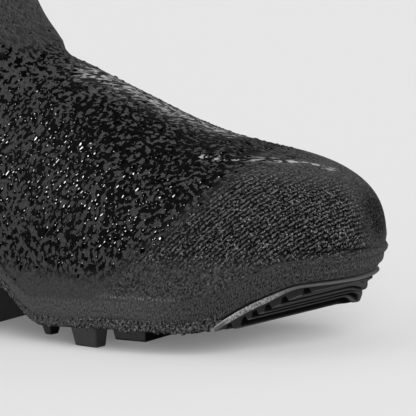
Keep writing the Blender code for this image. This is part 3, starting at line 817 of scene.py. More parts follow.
# new field, the one it is made from, where its soft rise starts and ends, and the results there
RISES = (
    ("edge", "pooling", 0.0, 1.0, EDGE_DRY, EDGE_POOLED),
    ("body_grain", "fine", 0.30, 0.70, 0.0, 1.0),
    ("toe_grain", "fine", 0.32, 0.68, 0.0, 1.0),
    ("dash_top", "dash", 0.42, 0.58, 0.0, 1.0),
    ("wave_top", "wave", 0.15, 0.80, 0.1, 1.0),
    # bright grains of painted glint on the toe's ribs
    ("speck_top", "speck", 0.64, 0.70, 0.0, 1.0),
    ("speck_share", "ribbed", 0.0, 1.0, 0.3, 0.9),
    ("patch_dash", "dash", 0.42, 0.48, 0.0, 1.0),
    ("shade_streak", "streak", 0.46, 0.40, 0.0, 1.0),
    ("shine_streak", "streak", 0.50, 0.60, 0.0, 1.0),
    ("band_grain", "upright", 0.30, 0.70, 0.0, 1.0),
    ("toe_band_grain", "upright", 0.36, 0.62, 0.0, 1.0),
    ("ledge_glint_grain", "upright", 0.48, 0.64, 0.0, 1.0),
    ("cuff_grain", "wrinkle", 0.34, 0.68, 0.0, 1.0),
)
for name, source, start, end, low, high in RISES:
    field[name] = add_node(tree, "ShaderNodeMapRange", {
        "Value": field[source], "From Min": start, "From Max": end, "To Min": low, "To Max": high,
    }, interpolation_type="SMOOTHSTEP").outputs["Result"]
print("fields of the knit:", len(field))

# %% Where the cloth is wet
# The blotch noise is wet where it is over an edge. The edge swings slowly, so the blotches cluster.
middle = add_node(tree, "ShaderNodeMath", {0: field["edge"], 1: CLUSTER_SWING / 2}, operation="ADD")
swung = add_node(tree, "ShaderNodeMath", {
    0: field["cluster"], 1: -CLUSTER_SWING, 2: middle.outputs[0],
}, operation="MULTIPLY_ADD").outputs[0]
over = add_node(tree, "ShaderNodeMath", {0: field["blotch"], 1: swung}, operation="SUBTRACT").outputs[0]
field["pooled"] = add_node(tree, "ShaderNodeMapRange", {
    "Value": over, "From Min": -EDGE_SOFT, "From Max": EDGE_SOFT,
}, interpolation_type="SMOOTHSTEP").outputs["Result"]

# new field, and the two whose product it is
PRODUCTS = (
    ("wetness", "pooled", "wet"),
    ("rib_height", "dash_top", "wave_top"),
    ("rib_relief", "rib_height", "ribbed"),
    ("painted_glint_share", "speck_top", "speck_share"),
    ("painted_toe_glints", "toe", "painted_glint_share"),
    ("dark_patch", "patch", "patch_dash"),
    ("painted_shade_streaks", "shade_streak_zone", "shade_streak"),
    ("worn_shine", "shine", "shine_streak"),
    ("ledge_painted_glints", "ledge", "ledge_glint_grain"),
)
for name, one, other in PRODUCTS:
    product = add_node(tree, "ShaderNodeMath", {0: field[one], 1: field[other]}, operation="MULTIPLY")
    field[name] = product.outputs[0]
print("fields of the knit:", len(field))

# %% Coats of tone
# cloth, the field that grains it, and its tones in the hollows and on the tops
CLOTHS = {
    "body": ("body_grain", "#363637", "#4a4a4b"),
    "toe": ("toe_grain", "#1a1a1b", "#505051"),
    "ribs": ("rib_height", "#020202", "#626263"),
    "band": ("band_grain", "#2c2c2d", "#5e5e5f"),
    "toe_band": ("toe_band_grain", "#0e0e0f", "#505051"),
    "cuff": ("cuff_grain", "#262627", "#4c4c4d"),
}
# the field that a coat covers, and its cloth or its one tone, from the lowest coat to the last
# Several coats are painted light: glints on the toe's ribs, shade streaks, the sheen stripes, glints along
# the ledge, and shade in the toe's fold and under the hem's lip.
COATS = (
    ("toe", "toe"), ("ribbed", "ribs"), ("painted_toe_glints", "#9c9c9d"), ("dark_patch", "#030303"),
    ("painted_shade_streaks", "#080808"), ("worn_shine", "#b8b8b9"), ("band", "band"), ("toe_band", "toe_band"),
    ("cuff", "cuff"), ("wetness", "#030303"), ("ledge_painted_glints", "#949495"), ("notch", "#050505"),
    ("hem_lip_shade", "#050505"),
)
cloth_tone = {}
for name, (source, low, high) in CLOTHS.items():
    cloth_tone[name] = add_node(tree, "ShaderNodeMix", {
        "Factor": field[source], 6: linear(low), 7: linear(high),
    }, data_type="RGBA").outputs[2]
tone = cloth_tone["body"]
for name, coat in COATS:
    over = cloth_tone[coat] if coat in cloth_tone else linear(coat)
    coated = add_node(tree, "ShaderNodeMix", {"Factor": field[name], 6: tone, 7: over}, data_type="RGBA")
    tone = coated.outputs[2]
tree.links.new(tone, shader.inputs["Base Color"])
KNIT_FINISH = {"Roughness": 0.75, "Specular IOR Level": 0.03, "Sheen Weight": 0.08, "Sheen Roughness": 0.4}
for name, value in KNIT_FINISH.items():
    shader.inputs[name].default_value = value
print("coats of tone:", len(COATS))

# %% Relief of the knit
relief = field["rib_relief"]
for name, height in (("wetness", 0.6), ("fine", 0.45)):
    relief = add_node(tree, "ShaderNodeMath", {
        0: field[name], 1: height, 2: relief,
    }, operation="MULTIPLY_ADD").outputs[0]
bump = add_node(tree, "ShaderNodeBump", {"Height": relief, "Strength": 0.8, "Distance": 0.6 * MM})
tree.links.new(bump.outputs[0], shader.inputs["Normal"])
cover_mesh.materials.append(knit)
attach(cover, "root")
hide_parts("upper")
print("knit material: %d nodes" % len(tree.nodes))

# %% [markdown]
# ## The finish of the other pieces
# The rubber of bumper and tread is moulded and slightly satin. The bumper's lip has a painted highlight
# along its rear part, and its grooves and the corner under the lip get painted shade. Two tread blocks
# that stand in shade get a darker copy of the rubber, which is painted shade. The plate is glass-filled
# nylon with a fine moulded grain. The footbed is covered with a thin cloth. All of them are one recipe:
# a fine grit between two tones, with a little bump from the same grit. Rain is clear, but over black wet
# cloth it shows only its own gloss, so it is drawn as a near-black, mirror-smooth dielectric.


# %% Moulded finishes
def moulded(name, low, high, grit_size, roughness, rise=None):
    """A material with a fine grit between two tones. Returns it, its tree, its shader and its tone."""
    made, tree, shader = new_material(name)
    place = add_node(tree, "ShaderNodeTexCoord").outputs["Object"]
    grit = add_node(tree, "ShaderNodeTexNoise", {"Vector": place, **grains(grit_size, 3.0)}).outputs["Fac"]
    bump = add_node(tree, "ShaderNodeBump", {"Height": grit, "Strength": 0.3, "Distance": 0.2 * MM})
    if rise:
        grit = add_node(tree, "ShaderNodeMapRange", {
            "Value": grit, "From Min": rise[0], "From Max": rise[1],
        }, interpolation_type="SMOOTHSTEP").outputs["Result"]
    tone = add_node(tree, "ShaderNodeMix", {
        "Factor": grit, 6: linear(low), 7: linear(high),
    }, data_type="RGBA").outputs[2]
    shader.inputs["Roughness"].default_value = roughness
    tree.links.new(bump.outputs[0], shader.inputs["Normal"])
    tree.links.new(tone, shader.inputs["Base Color"])
    return made, tree, shader, tone


rubber = moulded("moulded_rubber", "#242425", "#4c4c4d", 1.2, 0.42)[0]
# A darker copy of the rubber for tread blocks that stand in shade: painted shade.
shaded_rubber = moulded("rubber_painted_in_shade", "#060606", "#1c1c1d", 1.2, 0.6)[0]
nylon = moulded("moulded_nylon", "#0c0c0d", "#1b1b1c", 0.8, 0.45)[0]
footbed = moulded("footbed_cloth", "#202022", "#3c3c3e", 1.6, 0.9)[0]
for name, finish in (("sole_plate", nylon), ("insole", footbed)):
    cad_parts[name].data.materials.clear()
    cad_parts[name].data.materials.append(finish)
print("plate and footbed finished")

# %% Bumper rubber and rain
bumper_rubber, tree, shader, tone = moulded("bumper_rubber", "#464647", "#606061", 0.9, 0.42)
lip, groove = (
    add_node(tree, "ShaderNodeAttribute", attribute_name=name).outputs["Fac"] for name in ("lip", "groove")
)
place = add_node(tree, "ShaderNodeTexCoord").outputs["Object"]
crumb = add_node(tree, "ShaderNodeTexNoise", {"Vector": place, **grains(0.8, 2.0)}).outputs["Fac"]
# a field, where its soft rise starts and ends, and the results there
LIP_RISES = ((lip, 0.0, 0.3, 0.0, 1.0), (lip, 0.3, 1.0, 0.0, 1.0), (crumb, 0.42, 0.60, 0.0, 1.0),
             (lip, 0.0, 1.0, 0.45, 0.30))
plain_lip, highlight_lip, highlight_crumb, lip_gloss = (
    add_node(tree, "ShaderNodeMapRange", {
        "Value": value, "From Min": start, "From Max": end, "To Min": low, "To Max": high,
    }, interpolation_type="SMOOTHSTEP").outputs["Result"]
    for value, start, end, low, high in LIP_RISES
)
painted_highlight = add_node(tree, "ShaderNodeMath", {0: highlight_lip, 1: highlight_crumb}, operation="MULTIPLY").outputs[0]
# The lip's grey, its painted highlight broken into crumbs, and painted shade in the grooves and the corner
# under the lip.
for share, coat in ((plain_lip, "#5c5c5d"), (painted_highlight, "#a4a4a5"), (groove, "#0a0a0b")):
    coated = add_node(tree, "ShaderNodeMix", {"Factor": share, 6: tone, 7: linear(coat)}, data_type="RGBA")
    tone = coated.outputs[2]
tree.links.new(tone, shader.inputs["Base Color"])
tree.links.new(lip_gloss, shader.inputs["Roughness"])
print("bumper rubber: %d nodes" % len(tree.nodes))

rain, tree, shader = new_material("standing_rain")
for name, value in {"Base Color": linear("#020202"), "Roughness": 0.08, "IOR": 1.6}.items():
    shader.inputs[name].default_value = value
print("materials:", len(bpy.data.materials))

# %% [markdown]
# ## Standing rain
# Thousands of drops stand on the wet body. A particle system could strew them, but not by the pattern
# in the cloth. Geometry Nodes do: they set points on the skin, keep those where the material's own
# blotch noise is dark, and put a small dome on each, drawn out along the rows. Most domes are flat and
# only look black. A few stand taller and catch the lamp.


# %% Scatter tools
def new_tree(name, sockets):
    """A Geometry Nodes tree with named inputs, and its two end nodes."""
    tree = bpy.data.node_groups.new(name, "GeometryNodeTree")
    tree.interface.new_socket("Geometry", in_out="INPUT", socket_type="NodeSocketGeometry")
    for socket, kind in sockets.items():
        tree.interface.new_socket(socket, in_out="INPUT", socket_type="NodeSocket" + kind)
    tree.interface.new_socket("Geometry", in_out="OUTPUT", socket_type="NodeSocketGeometry")
    return tree, add_node(tree, "NodeGroupInput").outputs, add_node(tree, "NodeGroupOutput")


def shaken(tree, most, seed):
    """A chance vector between the negative of this one and itself."""
    least = add_node(tree, "ShaderNodeVectorMath", {0: most, "Scale": -1.0}, operation="SCALE").outputs[0]
    inputs = {0: least, 1: most, "Seed": seed}
    return add_node(tree, "FunctionNodeRandomValue", inputs, data_type="FLOAT_VECTOR").outputs[0]


def set_out(tree, end, material, shape, **laid):
    """Ends a tree: the shape on each point, smooth, as plain mesh and with its material."""
    smooth = add_node(tree, "GeometryNodeSetShadeSmooth", {"Geometry": shape}).outputs[0]
    placed = add_node(tree, "GeometryNodeInstanceOnPoints", {"Instance": smooth, **laid}).outputs[0]
    real = add_node(tree, "GeometryNodeRealizeInstances", {"Geometry": placed}).outputs[0]
    dressed = add_node(tree, "GeometryNodeSetMaterial", {"Geometry": real, "Material": material}).outputs[0]
    tree.links.new(dressed, end.inputs[0])


def grown(name, base, tree, values):
    """A new object with the mesh that a node tree grows from a base mesh or curve."""
    seed = add_object(name, base)
    growth = seed.modifiers.new(name, "NODES")
    growth.node_group = tree
    for socket in tree.interface.items_tree:
        if socket.in_out == "INPUT" and socket.name in values:
            growth[socket.identifier] = values[socket.name]
    graph = bpy.context.evaluated_depsgraph_get()
    mesh = bpy.data.meshes.new_from_object(seed.evaluated_get(graph))
    mesh.name = name
    bpy.data.objects.remove(seed)
    print("%s: %d faces" % (name, len(mesh.polygons)))
    return add_object(name, mesh)


# %% Where drops stand
drops, given, end = new_tree("rain_drops", {
    "Spacing": "Float", "Density": "Float", "Smallest": "Float", "Largest": "Float", "Tilt": "Vector",
    "Seed": "Int", "Material": "Material",
})
named = {}
for name in ("wet", "pooling", "row_place", "row_course"):
    kind = "FLOAT_VECTOR" if name.startswith("row") else "FLOAT"
    read = add_node(drops, "GeometryNodeInputNamedAttribute", {"Name": name}, data_type=kind)
    named[name] = read.outputs["Attribute"]
spread = add_node(drops, "GeometryNodeDistributePointsOnFaces", {
    "Mesh": given["Geometry"], "Distance Min": given["Spacing"], "Density Max": given["Density"],
    "Density Factor": named["wet"], "Seed": given["Seed"],
}, distribute_method="POISSON").outputs
drawn = add_node(drops, "ShaderNodeVectorMath", {0: named["row_place"], 1: ROW_STRETCH}, operation="DIVIDE")
same_blotch = add_node(drops, "ShaderNodeTexNoise", {"Vector": drawn.outputs[0], **BLOTCH}).outputs[0]
same_edge = add_node(drops, "ShaderNodeMapRange", {
    "Value": named["pooling"], "To Min": EDGE_DRY, "To Max": EDGE_POOLED,
}, interpolation_type="SMOOTHSTEP").outputs["Result"]
dry = add_node(drops, "FunctionNodeCompare", {0: same_blotch, 1: same_edge}, operation="LESS_THAN")
kept = add_node(drops, "GeometryNodeDeleteGeometry", {
    "Geometry": spread["Points"], "Selection": dry.outputs[0],
}).outputs[0]
print("nodes that place the drops:", len(drops.nodes))

# %% Rain drops
FLAT_DROP, TALL_DROP, FEW_LARGE = (0.9, 0.6, 0.14), (1.9, 1.0, 0.34), 3.0
along = add_node(drops, "FunctionNodeAlignRotationToVector", {
    "Rotation": spread["Rotation"], "Vector": named["row_course"],
}, axis="X", pivot_axis="Z").outputs[0]
tilted = add_node(drops, "FunctionNodeRotateRotation", {
    "Rotation": along, "Rotate By": shaken(drops, given["Tilt"], 8),
}, rotation_space="LOCAL").outputs[0]
luck = add_node(drops, "FunctionNodeRandomValue", {"Seed": given["Seed"]}).outputs[1]
small = add_node(drops, "ShaderNodeMath", {0: luck, 1: FEW_LARGE}, operation="POWER").outputs[0]
size = add_node(drops, "ShaderNodeMapRange", {
    "Value": small, "To Min": given["Smallest"], "To Max": given["Largest"],
}).outputs[0]
form = add_node(drops, "FunctionNodeRandomValue", {0: FLAT_DROP, 1: TALL_DROP, "Seed": 5},
                data_type="FLOAT_VECTOR").outputs[0]
scale = add_node(drops, "ShaderNodeVectorMath", {0: form, "Scale": size}, operation="SCALE").outputs[0]
dome = add_node(drops, "GeometryNodeMeshUVSphere", {"Segments": 8, "Rings": 4, "Radius": 1.0}).outputs[0]
set_out(drops, end, given["Material"], dome, Points=kept, Rotation=tilted, Scale=scale)
rain_drops = grown("rain_drops", cover_mesh, drops, {
    "Spacing": 1.5 * MM, "Density": 0.24 / MM**2, "Smallest": 0.36 * MM, "Largest": 1.30 * MM,
    "Tilt": (0.2, 0.2, 0.2), "Seed": 11, "Material": rain,
})
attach(rain_drops, "root")

# %% [markdown]
# ## The hem's stitches
# The cover's lower edge is a thick knitted hem whose stitches show as a bumpy row of slanted grains. It
# lies smooth over the bumper, so the row stops there. Each grain could be modelled, but they only
# repeat along the edge. So Geometry Nodes walk three lines round the hem and lean one grain forward and
# the next one back, which makes the knit's small Vs. Chance sizes and shifts keep them uneven.

# %% Lines of the hem
# rise over the edge and inset of each line
HEM_LINES = ((0.0010, 0.0050), (0.0024, 0.0041), (0.0042, 0.0041))
HEM_POINTS, HEM_FRONT = 300, 0.2355
hem_curve = bpy.data.curves.new("hem_lines", "CURVE")
hem_curve.dimensions = "3D"
for rise, inset in HEM_LINES:
    ring = outline_ring(inset, wall_height(rise, 0.0), HEM_POINTS)
    ring = ring[ring[:, 0] < HEM_FRONT] + shift
    spline = hem_curve.splines.new("POLY")
    spline.points.add(len(ring) - 1)
    spline.points.foreach_set("co", np.column_stack([ring, np.ones(len(ring))]).ravel())
yarn = moulded("hem_yarn", "#030303", "#6a6a6b", 0.9, 0.7, rise=(0.44, 0.64))[0]
print("hem lines:", len(hem_curve.splines))

# %% Lean of the stitches
stitches, given, end = new_tree("hem_stitches", {
    "Pitch": "Float", "Length": "Float", "Thickness": "Float", "Lean": "Float", "Shift": "Vector",
    "Material": "Material",
})
steps = add_node(stitches, "GeometryNodeResampleCurve", {
    "Curve": given["Geometry"], "Length": given["Pitch"],
}, mode="LENGTH").outputs[0]
uneven = add_node(stitches, "GeometryNodeSetPosition", {
    "Geometry": steps, "Offset": shaken(stitches, given["Shift"], 4),
}).outputs[0]
index = add_node(stitches, "GeometryNodeInputIndex").outputs[0]
odd = add_node(stitches, "ShaderNodeMath", {0: index, 1: 2.0}, operation="MODULO").outputs[0]
sign = add_node(stitches, "ShaderNodeMath", {0: odd, 1: 2.0, 2: -1.0}, operation="MULTIPLY_ADD").outputs[0]
lean = add_node(stitches, "ShaderNodeMath", {0: sign, 1: given["Lean"]}, operation="MULTIPLY").outputs[0]
tilt = add_node(stitches, "ShaderNodeCombineXYZ", {"Z": lean}).outputs[0]
tangent = add_node(stitches, "GeometryNodeInputTangent").outputs[0]
aim = add_node(stitches, "ShaderNodeVectorMath", {0: tangent, 1: tilt}, operation="ADD").outputs[0]
turn = add_node(stitches, "FunctionNodeAlignRotationToVector", {"Vector": aim}, axis="X").outputs[0]
print("nodes that lean the stitches:", len(stitches.nodes))

# %% Hem stitches
# least and most bulk of a grain by chance, and the heel's stations and the bulk that grows over them
CHANCE_BULK, HEEL_SPAN, HEEL_BULK = (0.45, 1.3), (0.0, 0.055), (0.6, 1.15)
luck = add_node(stitches, "FunctionNodeRandomValue", {
    2: CHANCE_BULK[0], 3: CHANCE_BULK[1], "Seed": 3,
}).outputs[1]
where = add_node(stitches, "GeometryNodeInputPosition").outputs[0]
station = add_node(stitches, "ShaderNodeSeparateXYZ", {0: where}).outputs["X"]
coarse = add_node(stitches, "ShaderNodeMapRange", {
    "Value": station, "From Min": HEEL_SPAN[0], "From Max": HEEL_SPAN[1],
    "To Min": HEEL_BULK[0], "To Max": HEEL_BULK[1],
}, interpolation_type="SMOOTHSTEP").outputs["Result"]
bulk = add_node(stitches, "ShaderNodeMath", {0: luck, 1: coarse}, operation="MULTIPLY").outputs[0]
form = add_node(stitches, "ShaderNodeCombineXYZ", {
    "X": given["Length"], "Y": given["Thickness"], "Z": given["Thickness"],
}).outputs[0]
scale = add_node(stitches, "ShaderNodeVectorMath", {0: form, "Scale": bulk}, operation="SCALE").outputs[0]
grain = add_node(stitches, "GeometryNodeMeshUVSphere", {"Segments": 6, "Rings": 5, "Radius": 0.5}).outputs[0]
set_out(stitches, end, given["Material"], grain, Points=uneven, Rotation=turn, Scale=scale)
hem = grown("hem_stitches", hem_curve, stitches, {
    "Pitch": 2.0 * MM, "Length": 3.0 * MM, "Thickness": 1.5 * MM, "Lean": 0.7,
    "Shift": (0.6 * MM, 0.3 * MM, 0.5 * MM), "Material": yarn,
})
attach(hem, "root")

# %% [markdown]
# ## The toe bumper
# Under the hem at the toe sits a moulded rubber bumper: a thin lip, and below it a set-back pad with
# transverse ribs, square to the toe's own axis, which leans to medial. The grooves are unevenly spaced
# and closed at the far border, which is lower than the ribs, and the first is only a notch at the near
# border. A Boolean per groove would leave hard edges. Here the pad's underside is a fine grid between
# its two sides, and the grooves are pressed into it and into the pad's flank.

# %% Sizes of the bumper
# station on the lateral side, and height of the ribs there
BUMPER_UNDER = np.array((
    (0.2345, 0.0124), (0.2420, 0.0130), (0.2453, 0.0160), (0.2505, 0.0190), (0.2556, 0.0213),
    (0.2617, 0.0236), (0.2691, 0.0256), (0.2780, 0.0274), (LENGTH, 0.0288),
))
TOE_LEAN, TOE_LATERAL, BUMPER_BACK = np.tan(np.radians(6.5)), -0.038, 0.2345
PAD_INSET, RIM_INSET, SEAT_INSET, SEAT_SET_IN = 0.0065, 0.0038, 0.0092, 0.0024
RIM_TALL, RIM_TIP_TALL, RIM_ROUND, PAD_ROUND = 0.0027, 0.0015, 0.0006, 0.0005
FIT_GAP, PLATE_LOW, LEAST_GAP = 0.0003, 0.0031, 0.0001
GROOVES = np.array((0.2389, 0.2446, 0.2489, 0.2538, 0.2597, 0.2672))
# width and depth of a groove, how far past its sides its painted shade spreads, and the softness of its edges
GROOVE_WIDTH, GROOVE_DEEP, GROOVE_SHADE_SPREAD, GROOVE_SOFT = 0.0020, 0.0022, 0.0005, 0.0004
BUMPER_SIDE, BUMPER_ACROSS, PAD_SPREAD, CORNER_CUT = 260, 40, 0.0022, 2.2
BORDER, BORDER_LOW, BORDER_WIDE, TIP_LIFT, FAR_BACK = 0.0024, 0.0026, 0.009, 0.0022, 0.0045
# spans of stations over which the tip's own shape and the border's bulge come in
TIP_SPAN, BULGE_SPAN = (0.252, 0.270), (0.246, 0.266)
# spans across the toe, from lateral to medial, of the notch's end, the spread, the corner and the far side
NOTCH_SPAN, SPREAD_SPAN, CORNER_SPANS = (-0.032, -0.030), (-0.030, -0.004), ((0.012, 0.022), (0.032, 0.038))
FAR_SPAN, BACK_SPAN = (0.014, 0.030), (0.030, 0.038)
under_at = curve(*BUMPER_UNDER.T)
print("grooves:", len(GROOVES))


# %% Bumper tools
def toe_station(line):
    """Stations of points of the toe, read across the toe's leaning axis."""
    return line[:, 0] - (line[:, 1] - TOE_LATERAL) * TOE_LEAN


def border_gap(line):
    """How far points lie from the pad's border round the tip and along the medial side."""
    return np.linalg.norm(line[:, None, :2] - pad_border[None], axis=2).min(axis=1)


def groove_share(line, spread=0.0):
    """1 in the middle of a groove, 0 on the ribs, with rounded edges that can be spread wider."""
    away = np.abs(toe_station(line)[:, None] - GROOVES)
    away[:, 0] += GROOVE_WIDTH * soft_step(line[:, 1], *NOTCH_SPAN)
    side = GROOVE_WIDTH / 2 + spread
    across = 1 - soft_step(away.min(axis=1), side - GROOVE_SOFT, side + GROOVE_SOFT)
    return across * soft_step(border_gap(line), BORDER / 2, BORDER)


print("a groove is %.1f mm wide and %.1f mm deep" % (GROOVE_WIDTH / MM, GROOVE_DEEP / MM))


# %% Heights on the bumper
def rim_height(line, share):
    """A height on the lip, from 0 at its underside to 1 at its top."""
    tall = RIM_TALL + (RIM_TIP_TALL - RIM_TALL) * soft_step(line[:, 0], *TIP_SPAN)
    low = edge_at(line[:, 0]) - tall
    top = edge_at(line[:, 0]) - hem_drop(line[:, 0]) - FIT_GAP / 2
    return top + (low - top) * (1 - share)


def pad_height(line, rise):
    """A height this much above the ribs and grooves of the pad, always below the lip."""
    station = toe_station(line)
    far = soft_step(line[:, 1], *FAR_SPAN)
    bulge = BORDER_LOW * (1 - soft_step(border_gap(line), 0.0, BORDER_WIDE)) * soft_step(station, *BULGE_SPAN)
    lift = TIP_LIFT * soft_step(station, *TIP_SPAN)
    under = under_at(np.maximum(station - FAR_BACK * soft_step(line[:, 1], *BACK_SPAN), BUMPER_BACK))
    pressed = under - bulge * far + lift * (1 - far) + GROOVE_DEEP * groove_share(line) + rise
    return np.minimum(pressed, rim_height(line, 0.0) - LEAST_GAP)


print("the lip is %.1f mm tall, and %.1f mm at the tip" % (RIM_TALL / MM, RIM_TIP_TALL / MM))


# %% Sides of the toe
def toe_sides(inset, set_in, height_of, *given, spread=0.0):
    """The toe's part of the outline as its two sides, from the tip to a straight rear edge. It can be
    spread outwards round the tip and along the medial side, and is then drawn in at the corner."""
    sides = []
    for side, wide in zip(outline(inset), outline(inset - spread)):
        cut = soft_step(side[:, 1], *CORNER_SPANS[0]) * (1 - soft_step(side[:, 1], *CORNER_SPANS[1]))
        share = soft_step(side[:, 1], *SPREAD_SPAN) * (1 - CORNER_CUT * cut)
        side = side + (wide - side) * share[:, None]
        gap = toe_station(side) - BUMPER_BACK - set_in
        kept = int((gap > 0).sum())
        share = gap[kept - 1] / (gap[kept - 1] - gap[kept])
        line = np.vstack([side[:kept], side[kept - 1] + (side[kept] - side[kept - 1]) * share])
        line = evened(np.column_stack([line, 0 * line[:, 0]]), BUMPER_SIDE)
        line[:, 2] = height_of(line, *given)
        sides.append(line)
    return sides


BORDER_FROM = -0.012
lateral, medial = toe_sides(PAD_INSET, 0.0, lambda line: 0 * line[:, 0], spread=PAD_SPREAD)
pad_border = np.concatenate([lateral[lateral[:, 1] > BORDER_FROM], medial])[:, :2]
print("points on the pad's border:", len(pad_border))

# %% Levels of the bumper
PAD_LEVELS, LIP_LEVELS = 4, 7
bumper_rows = []
for t in np.linspace(0, np.pi / 2, PAD_LEVELS):
    inset, rise = PAD_INSET + PAD_ROUND * (1 - np.sin(t)), PAD_ROUND * (1 - np.cos(t))
    bumper_rows.append(toe_sides(inset, 0.0, pad_height, rise, spread=PAD_SPREAD))
bumper_rows.append(toe_sides(PAD_INSET, 0.0, rim_height, 0.0, spread=PAD_SPREAD))
for t in np.linspace(0, np.pi, LIP_LEVELS):
    inset = RIM_INSET + RIM_ROUND * (1 - np.sin(t))
    bumper_rows.append(toe_sides(inset, 0.0, rim_height, (1 - np.cos(t)) / 2))
bumper_rows.append(toe_sides(SEAT_INSET, SEAT_SET_IN, rim_height, 1.0))
bumper_rows.append(toe_sides(SEAT_INSET, SEAT_SET_IN, lambda line: edge_at(line[:, 0]) + PLATE_LOW - FIT_GAP))
print("levels of the bumper:", len(bumper_rows))

# %% Points of the bumper
# stations over which the lip's painted highlight comes in and fades, its least share, and the painted shade
# of the corner under the lip
HIGHLIGHT_IN, HIGHLIGHT_OUT, HIGHLIGHT_LEAST, CORNER_SHADE = (0.2365, 0.242), (0.252, 0.268), 0.3, 0.8
bm = bmesh.new()
lip_layer = bm.verts.layers.float.new("lip")
groove_shade_layer = bm.verts.layers.float.new("groove")


def add_points(line, lip, groove):
    """Vertices at these points, with their painted highlight and painted shade values."""
    made = [bm.verts.new(point + shift) for point in line]
    for vert, highlight_share, pressed in zip(made, lip, groove):
        vert[lip_layer] = highlight_share
        vert[groove_shade_layer] = pressed
    return made


levels = []
for order, (lateral, medial) in enumerate(bumper_rows):
    ring = np.concatenate([lateral, medial[:0:-1]])
    # painted shade in the grooves, and in the corner under the lip on the pad's top edge and the lip's
    # underside
    dark = groove_share(ring, GROOVE_SHADE_SPREAD)
    if order >= PAD_LEVELS - 1:
        dark = np.full(len(ring), CORNER_SHADE * (order <= PAD_LEVELS))
    station = toe_station(ring)
    painted_highlight = soft_step(station, *HIGHLIGHT_IN) * (1 - soft_step(station, *HIGHLIGHT_OUT))
    on_lip = PAD_LEVELS < order <= PAD_LEVELS + LIP_LEVELS
    levels.append(add_points(ring, on_lip * (HIGHLIGHT_LEAST + (1 - HIGHLIGHT_LEAST) * painted_highlight), dark))
lateral, medial = bumper_rows[0]
grid = [[levels[0][0]]]
share = np.linspace(0, 1, BUMPER_ACROSS + 1)[1:-1, None]
for a in range(1, BUMPER_SIDE + 1):
    rung = lateral[a] + (medial[a] - lateral[a]) * share
    rung[:, 2] = pad_height(rung, 0.0)
    inside = add_points(rung, 0 * rung[:, 0], groove_share(rung, GROOVE_SHADE_SPREAD))
    grid.append([levels[0][a], *inside, levels[0][-a]])
print("points of the bumper:", len(bm.verts))

# %% Faces of the bumper
SHARP_FROM = np.radians(50)


def closed_mesh(name, bm, material):
    """A smooth mesh with the faces of a closed form, all turned outwards."""
    bmesh.ops.recalc_face_normals(bm, faces=bm.faces)
    mesh = bpy.data.meshes.new(name)
    bm.to_mesh(mesh)
    bm.free()
    mesh.shade_smooth()
    mesh.materials.append(material)
    return mesh


for low, high in zip(levels, levels[1:]):
    for a in range(len(low)):
        b = (a + 1) % len(low)
        if low is not levels[0] or a != BUMPER_SIDE:
            bm.faces.new((low[a], high[a], high[b], low[b]))
bm.faces.new([*grid[-1], levels[1][BUMPER_SIDE + 1], levels[1][BUMPER_SIDE]])
lid = levels[-1]
for a in range(1, BUMPER_SIDE):
    bm.faces.new((lid[a], lid[a + 1], lid[-(a + 1)], lid[-a]))
bm.faces.new((lid[0], lid[1], lid[-1]))
for near, far in zip(grid[1:], grid[2:]):
    for b in range(BUMPER_ACROSS):
        bm.faces.new((near[b], far[b], far[b + 1], near[b + 1]))
for b in range(BUMPER_ACROSS):
    bm.faces.new((grid[0][0], grid[1][b], grid[1][b + 1]))
bumper_mesh = closed_mesh("toe_bumper_rubber", bm, bumper_rubber)
bumper_mesh.set_sharp_from_angle(angle=SHARP_FROM)
bumper = add_object("toe_bumper_rubber", bumper_mesh)
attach(bumper, "root")
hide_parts("toe_bumper")
print("bumper: %d faces" % len(bumper_mesh.polygons))

# %% [markdown]
# ## The tread
# Each tread block is a drafted rubber block whose root follows the plate. The real ones leave the
# mould with rounded edges, which catch a line of light, so a Bevel modifier rounds them here.

# %% Sizes of the tread blocks
LUG_DRAFT, LUG_ROUND, LUG_STEPS, ROUND_STEPS, ROUND_FROM = 0.0016, 0.0009, 5, 3, np.radians(40)
# tread blocks that stand in shade, drawn in the darker copy of the rubber as painted shade
SHADED_LUGS = ("lug_middle_bar", "lug_lateral_small")
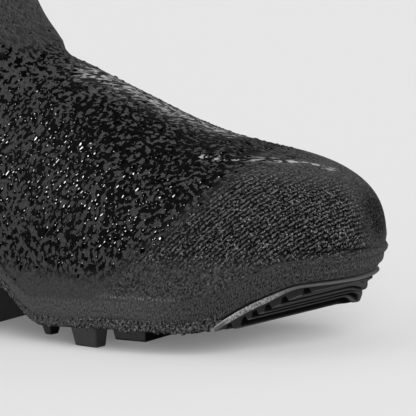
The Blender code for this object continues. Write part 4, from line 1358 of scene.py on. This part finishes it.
# name, middle x and y, length, width, clearance off the floor, and turn in plan in degrees
LUGS = (
    ("lug_middle_bar", 0.1728, 0.0000, 0.0205, 0.0370, 0.0, 0.0),
    ("lug_lateral_rear", 0.1625, -0.0318, 0.0170, 0.0090, 0.0, -9.0),
    ("lug_lateral_small", 0.1385, -0.0285, 0.0075, 0.0080, 0.0030, -9.0),
    ("lug_medial_rear", 0.1625, 0.0275, 0.0170, 0.0090, 0.0, 12.0),
    ("lug_medial_small", 0.1385, 0.0235, 0.0075, 0.0080, 0.0030, 9.0),
    ("lug_heel_breast", 0.0810, 0.0000, 0.0150, 0.0480, 0.0, 0.0),
    ("lug_heel_lateral", 0.0520, -0.0175, 0.0300, 0.0150, 0.0, 0.0),
    ("lug_heel_medial", 0.0520, 0.0170, 0.0300, 0.0150, 0.0, 0.0),
    ("lug_heel_back", 0.0240, 0.0000, 0.0170, 0.0320, 0.0, 0.0),
)


def lug_ring(lug, draft, height_of):
    """One level of a tread block, drawn in by the draft of its sides."""
    _, x, y, long, wide, _, turn = lug
    turn = np.radians(turn)
    along = np.linspace(long / 2 - draft, draft - long / 2, LUG_STEPS + 1)
    sides = []
    for side in (-1, 1):
        across = side * (wide / 2 - draft)
        plan_x = x + along * np.cos(turn) - across * np.sin(turn)
        plan_y = y + along * np.sin(turn) + across * np.cos(turn)
        sides.append(np.stack([plan_x, plan_y, height_of(plan_x)], axis=1))
    return np.concatenate([sides[0], sides[1][::-1]]) + shift


print("tread blocks:", len(LUGS))

# %% Build the tread blocks
for lug in LUGS:
    name, clearance = lug[0], lug[5]
    bm = bmesh.new()
    foot = [bm.verts.new(p) for p in lug_ring(lug, LUG_DRAFT, lambda x: 0 * x + clearance)]
    root = [bm.verts.new(p) for p in lug_ring(lug, 0.0, lambda x: edge_at(x) + PLATE_LOW - FIT_GAP)]
    for a in range(len(foot)):
        b = (a + 1) % len(foot)
        bm.faces.new((foot[a], foot[b], root[b], root[a]))
    for ring in (foot, root):
        for a in range(LUG_STEPS):
            bm.faces.new((ring[a], ring[a + 1], ring[-a - 2], ring[-a - 1]))
    block_mesh = closed_mesh("tread_" + name, bm, shaded_rubber if name in SHADED_LUGS else rubber)
    block = add_object("tread_" + name, block_mesh)
    rounding = block.modifiers.new("moulded_edges", "BEVEL")
    rounding.width = LUG_ROUND
    rounding.segments = ROUND_STEPS
    rounding.angle_limit = ROUND_FROM
    rounding.harden_normals = True
    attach(block, "root")
    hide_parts(name)
